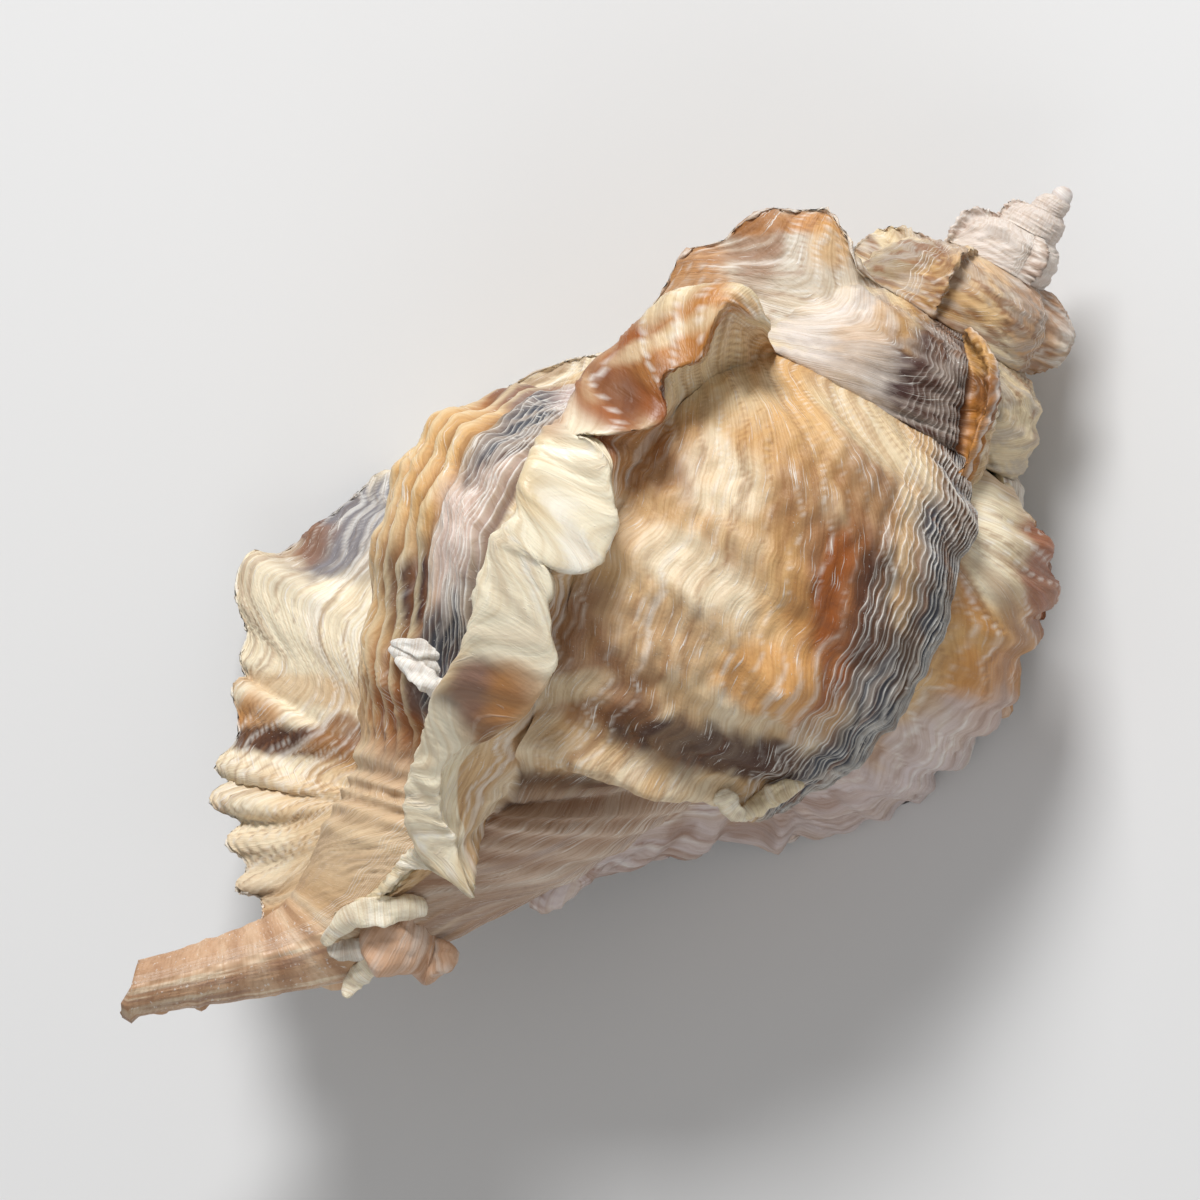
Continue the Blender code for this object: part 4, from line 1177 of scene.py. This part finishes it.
def patch_layers(at):
    """Each patch covers 1 less the smooth step from 0.75 to 1.4 of the distance from its middle, measured in its own
    half length and half width, plus waver."""
    for zone, patches in PATCHES.items():
        for t, w, long, short, turn, name, strength in patches:
            ahead, aside = at.t - t, at.w - w
            c, d = math.cos(turn * DEGREE), math.sin(turn * DEGREE)
            far = np.hypot((ahead * c + aside * d) / long, (aside * c - ahead * d) / short) + at.waver
            cover = 1.15 * strength * (1 - smooth(far, 0.75, 1.4)) * (0.92 + 0.2 * at.stripe)
            yield name, cover * at.where[zone]


print(sum(len(patches) for patches in PATCHES.values()), "patches")

# %% Ribs, neck and dark plates
SLATE_PLACES = [(46.9, 22.1, 4.5, 2.6), (64.0, 14.6, 6.5, 3.2)]  # t, w, half length, half width of dark plates


def rib_layers(at):
    """Behind the lip's wing, brown between the ribs and ivory on them."""
    rib = np.sin(2 * math.pi * at.pulled / 2.9)
    ribbed = at.where["whorl"] * smooth(at.since, 5, 8) * (1 - smooth(at.s, 2.0, 2.4))
    yield "umber_light", 0.6 * ribbed * smooth(-rib, 0.1, 1)
    yield "ivory", 0.6 * ribbed * smooth(rib, 0.1, 1)


def neck_layers(at):
    """Ivory on the newest stretch of the neck, and lilac with brown between the cords on the older ones."""
    neck = smooth(at.s, 2.2, 2.4) * (1 - at.canal) * at.whorl
    older = neck * np.where(at.name == "back", 0.3, 1.0)
    between = 1 - np.clip(bells(at.s, [(place, 1) for place, _ in NECK_CORDS], 0.055), 0, 1)
    yield "ivory", 0.7 * (neck - older)
    yield "lilac", 0.5 * older
    yield "umber_light", 0.95 * older * between * (0.75 + 0.5 * at.broad)


def plate_layers(at):
    """The crowded plates, which reach 5.5 to 9.5 mm from a wing's toe. They are dark in front of the side wing and the
    spire's back wing, and lilac with two dark places in front of the back wing. Grey streaks cross them."""
    crowded = at.whorl * (1 - smooth(at.since + 1.4 * noise(at.u / 9, at.v / 4, 6), 5.5, 9.5))
    crowded = crowded * (1 - smooth(at.s, 1.95, 2.15))
    newest = crowded * (at.name == "back")
    near = np.min([np.hypot((at.t - t) / long, (at.w - w) / wide) for t, w, long, wide in SLATE_PLACES], axis=0)
    dark = crowded * np.isin(at.name, ["side", "back_spire"]) + newest * (1 - smooth(near + at.waver, 0.8, 1.3))
    slate = smooth(0.5 + fractal(at.u / 3, at.v / 6, 4), 0.2, 0.6) * (at.name != "back_spire")
    yield "lilac", 0.75 * newest
    yield "umber", 0.92 * dark
    yield "slate", 0.95 * dark * slate
    yield "grey", 0.7 * at.bright * crowded * smooth(noise(at.u / 0.9, at.v / 5, 7), 0.25, 0.6)


show("ribs", rib_layers)
show("neck", neck_layers)
show("plates", plate_layers)

# %% Wear, shadows and fine lines


def wear_layers(at):
    """Brown and cream rings along the canal, a grey bloom on the older whorls and a brown crust near the tip."""
    rings = smooth(at.s, 3.2, 3.5) * noise(at.v / 1.2, 0 * at.u, 2)
    yield "umber_light", 0.5 * rings
    yield "cream", -0.6 * rings
    older = at.where["penult"] | at.where["upper"]
    yield "grey", 0.6 * older * smooth(fractal(at.u / 2.4, at.v / 2.4, 2), -0.15, 0.4)
    crust = at.where["upper"] * smooth(at.t, 8, 12) * (1 - smooth(at.t, 16, 20))
    yield "umber_light", 0.7 * crust * smooth(fractal(at.u / 1.6, at.v / 1.2, 5), 0, 0.4)


def painted_shade_and_rim_layers(at):
    """Painted shade: umber under the ridge round the base and in the grooves at the wings' toes, where shade falls.
    Then white on the plates' rims, which is their own colour.
    """
    window = smooth(at.angle, 10, 50) * (1 - smooth(at.angle, 105, 125)) * at.whorl
    # painted shade under the ridge round the base
    yield "umber", 0.8 * bells(at.s, [(2.24, 1)], 0.08) * window
    # painted shade in the grooves at the wings' toes
    groove = np.exp(-((at.since / 0.6) ** 2)) * at.whorl * np.isin(at.name, ["side", "back", "back_spire"])
    yield "umber", 0.7 * groove * (1 - smooth(at.s, 2.2, 2.8))
    rim = smooth(at.rim, 0.78, 1.0) * (0.65 + 0.35 * noise(at.v / 0.9, at.u, 5))
    yield "white", rim * at.bright * at.whorl


def line_layers(at):
    """Fine brown and white lines along the growth, brown mottling low on the side wing's front, and white edges."""
    where = at.where
    share = at.wing + 0.5 * where["whorl"] + 0.9 * where["penult"] + 0.7 * where["body"] * at.whorl
    fine = noise(at.bent / 0.4, at.v / 14, 6) * (1 - at.canal) * share
    yield "umber_light", 0.5 * smooth(fine, 0.2, 0.7) * (1 - 0.6 * where["ribbon"])
    yield "white", 0.5 * smooth(-fine, 0.3, 0.7) * (1 - 0.7 * where["spire_front"])
    mottled = where["side_front"] * smooth(at.s, 1.9, 2.3) * smooth(fractal(at.u / 2.5, at.v / 2.5, 7), -0.1, 0.5)
    yield "umber_light", 0.5 * mottled
    edged = where["left_wing"] | where["spire_front"] | where["lip"]
    yield "white", 0.6 * edged * smooth(at.h, 0.44, 0.5) * (1 - smooth(at.h, 0.5, 0.56))


show("wear", wear_layers)
show("shadows", painted_shade_and_rim_layers)
show("lines", line_layers)

# %% Paint the grids
LAYERS_IN_ORDER = [ground_layers, body_layers, patch_layers, rib_layers, neck_layers, plate_layers]
LAYERS_IN_ORDER += [wear_layers, painted_shade_and_rim_layers, line_layers]


def with_alpha(paint):
    """The paint with a fourth number, 1, which a colour attribute needs."""
    return np.concatenate([paint, np.ones((*paint.shape[:-1], 1))], -1)


def fields(at):
    """What the material reads: the paint, which is ivory under all the layers; along and across, the distances u and v,
    which change places on the canal; and gloss, 1 on the front faces of wings."""
    paint = np.broadcast_to(linear("ivory"), at.points.shape)
    for layers in LAYERS_IN_ORDER:
        for name, weight in layers(at):
            paint = mixed(paint, name, weight)
    along = at.u * (1 - at.canal) + at.v * at.canal
    across = at.v * (1 - at.canal) + at.u * at.canal
    return {"paint": with_alpha(paint), "along": along, "across": across, "gloss": 1.0 * (at.h > 0.5)}


def plain(grid, colour):
    """The same fields for a grid without growth rows: one colour, with clouds of brown and streaks of white."""
    shape = grid.shape[:2]
    u, v = np.mgrid[: shape[0], : shape[1]] * STEP
    paint = mixed(np.broadcast_to(linear(colour), (*shape, 3)), "umber_light", 0.35 * fractal(u / 3, v / 3, 3))
    paint = mixed(paint, "white", 0.5 * noise(u / 0.8, v / 5, 4))
    return {"paint": with_alpha(paint), "along": u, "across": v, "gloss": np.ones(shape)}


spire_fields, last_fields = fields(spire_at), fields(last_at)
print("the last whorl's mean colour", last_fields["paint"].mean((0, 1)).round(2))

# %% [markdown]
# ## Pieces
#
# The last whorl is cut along the toes of its wings into four pieces, which keeps each mesh small and the cuts hidden in
# the grooves. All pieces stand for the one shell of the packed model.

# %% Put the pieces together


def cut(grid, values, rows, inward, outer=False):
    """A piece of a grown grid, with its fields."""
    return trimmed(grid[rows], inward, outer), {key: widened(field[rows], outer) for key, field in values.items()}


toes = [0] + [int(np.flatnonzero(last["name"] == name)[-1]) for name in LAST_WINGS]
pieces = {"spire": cut(spire_grid, spire_fields, slice(None), 0.1, True)}
for name, first, final in zip(("underside", "right", "back", "lip"), toes, toes[1:]):
    pieces[name] = cut(last_grid, last_fields, slice(first, final + 1), 0.05)
pieces |= {"aperture": (wall, plain(wall, "cream")), "canal": (wrap, plain(wrap, "pink"))}
pieces["apex"] = (tip, plain(tip, "pearl"))
pieces |= {name: (tube, plain(tube, LEFTOVERS[name][-1])) for name, tube in tubes.items()}
print(len(pieces), "pieces")

# %% [markdown]
# A grid of points becomes a mesh without any loop over its vertices: the four corners of every square are four slices
# of one table of numbers. The grid is turned to the way the shell lies before it is stored, so the object needs no
# turn. Points that meet at a seam or a pole are joined.

# %% Lay the grids down
LIE_ROLL, LIE_PITCH = 13.1, -6.8  # degrees
APEX = (5.808, 52.183, 10.534)  # millimetres
SAME_PLACE = 1e-7  # metres; points nearer than this are one
LIFT = 0.0001  # metres; no point is lower, so nothing sinks into the floor
LIE = np.array(Matrix.Rotation(math.radians(LIE_PITCH), 3, "X") @ Matrix.Rotation(math.radians(LIE_ROLL), 3, "Y"))


def lay(points):
    """The turned points plus the apex's place, in metres."""
    return (points @ LIE.T + np.array(APEX)) * MM


def stored(name, grid, values):
    """A mesh object from a grid: points n, n + width, n + width + 1 and n + 1 make a face that looks outwards."""
    rows, across = grid.shape[:2]
    number = np.arange(rows * across).reshape(rows, across)
    faces = np.stack([number[:-1, :-1], number[1:, :-1], number[1:, 1:], number[:-1, 1:]], -1).reshape(-1, 4)
    points = lay(grid.reshape(-1, 3))
    points[:, 2] = np.maximum(points[:, 2], LIFT)
    mesh = bpy.data.meshes.new(name)
    mesh.from_pydata(points.tolist(), [], faces.tolist())
    for key, value in values.items():
        kind, what = ("FLOAT_COLOR", "color") if value.ndim == 3 else ("FLOAT", "value")
        mesh.attributes.new(key, kind, "POINT").data.foreach_set(what, value.reshape(-1).astype(np.float32))
    welder = bmesh.new()
    welder.from_mesh(mesh)
    bmesh.ops.remove_doubles(welder, verts=welder.verts, dist=SAME_PLACE)
    welder.to_mesh(mesh)
    welder.free()
    mesh.shade_smooth()
    piece = bpy.data.objects.new(name, mesh)
    bpy.context.collection.objects.link(piece)
    return piece


objects = [stored(name, *piece) for name, piece in pieces.items()]
print({piece.name: len(piece.data.polygons) for piece in objects})

# %% [markdown]
# ## Material
#
# The shell is a chalky crystal with a thin glaze on the inner side of the lip. The vertices bring the colours. The
# material adds growth lines a tenth of a millimetre apart, white scratches along them, specks, and a bump for all of
# them. Nodes for sums and products would fill the page, so a small class lets us write them as ordinary maths.

# %% Shader maths


class Socket:
    """Wraps a node's output, so that shader maths reads like ordinary maths. Each sum, difference or product becomes
    one Math node."""

    tree = None

    def __init__(self, output):
        self.output = output

    @classmethod
    def feed(cls, socket, value):
        """Links a wrapped output to the socket, or sets the socket to a number or colour."""
        if isinstance(value, Socket):
            cls.tree.links.new(value.output, socket)
        else:
            socket.default_value = value

    @classmethod
    def node(cls, kind, settings=(), **inputs):
        """A node of that kind: its settings first, then its sockets' values or links. _0 names a socket by number."""
        made = cls.tree.nodes.new(kind)
        for key, value in dict(settings).items():
            setattr(made, key, value)
        for key, value in inputs.items():
            cls.feed(made.inputs[int(key[1:]) if key[0] == "_" else key.replace("_", " ")], value)
        return made

    @classmethod
    def maths(cls, operation, first, second):
        """first and second put together by the operation."""
        return cls(cls.node("ShaderNodeMath", {"operation": operation}, _0=first, _1=second).outputs[0])

    def __add__(self, other):
        return self.maths("ADD", self, other)

    def __radd__(self, other):
        return self.maths("ADD", other, self)

    def __mul__(self, other):
        return self.maths("MULTIPLY", self, other)

    def __rmul__(self, other):
        return self.maths("MULTIPLY", other, self)

    def __sub__(self, other):
        return self.maths("SUBTRACT", self, other)

    def __rsub__(self, other):
        return self.maths("SUBTRACT", other, self)

    def step(self, low, high):
        """0 below low, 1 above high, and 3u^2 - 2u^3 between them."""
        inputs = {"Value": self, "From_Min": low, "From_Max": high}
        made = self.node("ShaderNodeMapRange", {"interpolation_type": "SMOOTHSTEP"}, **inputs)
        return Socket(made.outputs["Result"])


def attribute(name, output="Fac"):
    """The field of that name from the vertices."""
    return Socket(Socket.node("ShaderNodeAttribute", {"attribute_name": name}).outputs[output])


def noise_at(x, y, z, scale, detail=2.0):
    """Noise from 0 to 1 at three coordinates."""
    place = Socket(Socket.node("ShaderNodeCombineXYZ", X=x, Y=y, Z=z).outputs[0])
    return Socket(Socket.node("ShaderNodeTexNoise", Vector=place, Scale=scale, Detail=detail).outputs[0])


def mix(weight, first, second, kind="MIX"):
    """Two colours: first times (1 - weight) plus second times weight, or first times second when kind is MULTIPLY."""
    settings = {"data_type": "RGBA", "blend_type": kind}
    return Socket(Socket.node("ShaderNodeMix", settings, _0=weight, _6=first, _7=second).outputs[2])


print("the class offers", [name for name in vars(Socket) if not name.startswith("_")])

# %% [markdown]
# Every noise reads the growth distances instead of the place in space, so the lines follow the shell's own growth round
# each turn. Squeezing one coordinate stretches the noise along it: lines and scratches are noise squeezed hard across.

# %% Lines, scratches and clouds
material = bpy.data.materials.new("shell")
material.use_nodes = True
Socket.tree = material.node_tree
along, across, gloss = attribute("along"), attribute("across"), attribute("gloss")
paint = attribute("paint", "Color")
waved = along + 0.35 * noise_at(along * 0.3, across, 0.0, 0.55, 3.0)
lines = noise_at(waved * 3.2, across * 0.12, 0.0, 1.0, 3.0)
scratches = noise_at(waved * 4.5, across * 0.3, 7.0, 1.0, 1.0).step(0.61, 0.69)
specks = noise_at(along, across, 3.0, 5.5, 1.0).step(0.70, 0.76)
cloud = noise_at(along, across, 5.0, 0.45, 4.0)
chalk = (scratches + 0.8 * specks) * cloud.step(0.40, 0.65)
print(len(material.node_tree.nodes), "nodes so far")

# %% The shell's material
LINE_BROWN = (0.66, 0.52, 0.38, 1.0)
PALER = (1.25, 1.22, 1.2, 1.0)
CHALK = (0.86, 0.83, 0.77, 1.0)
shader = material.node_tree.nodes["Principled BSDF"]
tinted = mix(lines.step(0.38, 0.68) * 0.45, paint, LINE_BROWN, "MULTIPLY")
tinted = mix(cloud.step(0.45, 0.8) * 0.28, tinted, PALER, "MULTIPLY")
tinted = mix(chalk * (0.62 - 0.4 * gloss), tinted, CHALK)
Socket.feed(shader.inputs["Base Color"], tinted)
Socket.feed(shader.inputs["Roughness"], 0.46 + 0.18 * cloud - 0.16 * gloss)
height = lines * 0.6 + chalk * 0.4 + noise_at(along, across, 9.0, 3.0, 4.0) * 0.5
bump = Socket.node("ShaderNodeBump", Height=height, Strength=0.45, Distance=0.0003)
Socket.feed(shader.inputs["Normal"], Socket(bump.outputs[0]))
shader.inputs["Specular IOR Level"].default_value = 0.45
shader.inputs["Subsurface Weight"].default_value = 0.03
shader.inputs["Subsurface Radius"].default_value = (0.8, 0.5, 0.3)
shader.inputs["Subsurface Scale"].default_value = MM
print(len(material.node_tree.nodes), "nodes in the shell's material")

# %% [markdown]
# Each piece now gets the material and rides with the root of the packed model, whose own shell is hidden, so the
# pieces stand in its place.

# %% Places
for piece in objects:
    piece.data.materials.append(material)
    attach(piece, "root")
    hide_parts("shell")
print(len(objects), "pieces stand for the shell")

# %% [markdown]
# ## Stage
#
# The shell lies on pale paper under soft light. The camera looks straight down on the shell's back, from far off
# through a long lens, as the photograph was taken.

# %% Paper
floor_mesh = bpy.data.meshes.new("floor")
floor_mesh.from_pydata([(-2, -2, 0), (2, -2, 0), (2, 2, 0), (-2, 2, 0)], [], [(0, 1, 2, 3)])
floor = bpy.data.objects.new("floor", floor_mesh)
bpy.context.collection.objects.link(floor)
paper = bpy.data.materials.new("paper")
paper.use_nodes = True
paper.node_tree.nodes["Principled BSDF"].inputs["Base Color"].default_value = (0.7, 0.7, 0.7, 1)
paper.node_tree.nodes["Principled BSDF"].inputs["Roughness"].default_value = 0.8
floor_mesh.materials.append(paper)
print("paper", [round(side, 1) for side in floor.dimensions[:2]], "m")

# %% Camera
PICTURE_WIDTH = 102.12  # millimetres of the shell's plane that the picture shows
PICTURE_CENTRE = (-7.19, -52.68, 0.0)  # on the shell's axes
PICTURE_RIGHT, PICTURE_UP = (0.7546, 0.6557, 0), (-0.6557, 0.7546, 0)
CAMERA_FAR = 0.9  # metres
SENSOR = 36
camera_data = bpy.data.cameras.new("camera")
camera = bpy.data.objects.new("camera", camera_data)
bpy.context.collection.objects.link(camera)
turned = [LIE @ np.array(side) for side in (PICTURE_RIGHT, PICTURE_UP, (0, 0, 1))]
camera_place = Vector(lay(np.array(PICTURE_CENTRE))) + Vector(turned[2]) * CAMERA_FAR
camera.matrix_world = Matrix.Translation(camera_place) @ Matrix(np.stack(turned, 1).tolist()).to_4x4()
camera_data.sensor_width = SENSOR
camera_data.lens = SENSOR * CAMERA_FAR / (PICTURE_WIDTH * MM)
bpy.context.scene.camera = camera
print("lens", round(camera_data.lens), "mm")

# %% [markdown]
# One small lamp at the upper left draws the ridges and throws soft shadows, a large faint one opens them again, and a
# dim white world does the rest.

# %% Light
LOOKED_AT = (0, 0, 0.02)


def area(name, place, size, power):
    """A square light that faces the shell."""
    data = bpy.data.lights.new(name, "AREA")
    data.size, data.energy = size, power
    lamp = bpy.data.objects.new(name, data)
    lamp.location = place
    lamp.rotation_euler = (Vector(LOOKED_AT) - Vector(place)).to_track_quat("-Z", "Y").to_euler()
    bpy.context.collection.objects.link(lamp)
    return lamp


key = area("key", (-0.36, 0.44, 0.55), 0.25, 6.2)
fill = area("fill", (0.5, -0.4, 0.5), 0.6, 1.2)
world = bpy.data.worlds.new("world")
world.use_nodes = True
world.node_tree.nodes["Background"].inputs["Color"].default_value = (1, 1, 1, 1)
world.node_tree.nodes["Background"].inputs["Strength"].default_value = 0.34
bpy.context.scene.world = world
bpy.context.scene.view_settings.view_transform = "Standard"
print("the key lamp has", round(key.data.energy / fill.data.energy, 1), "times the fill's power")

# %% [markdown]
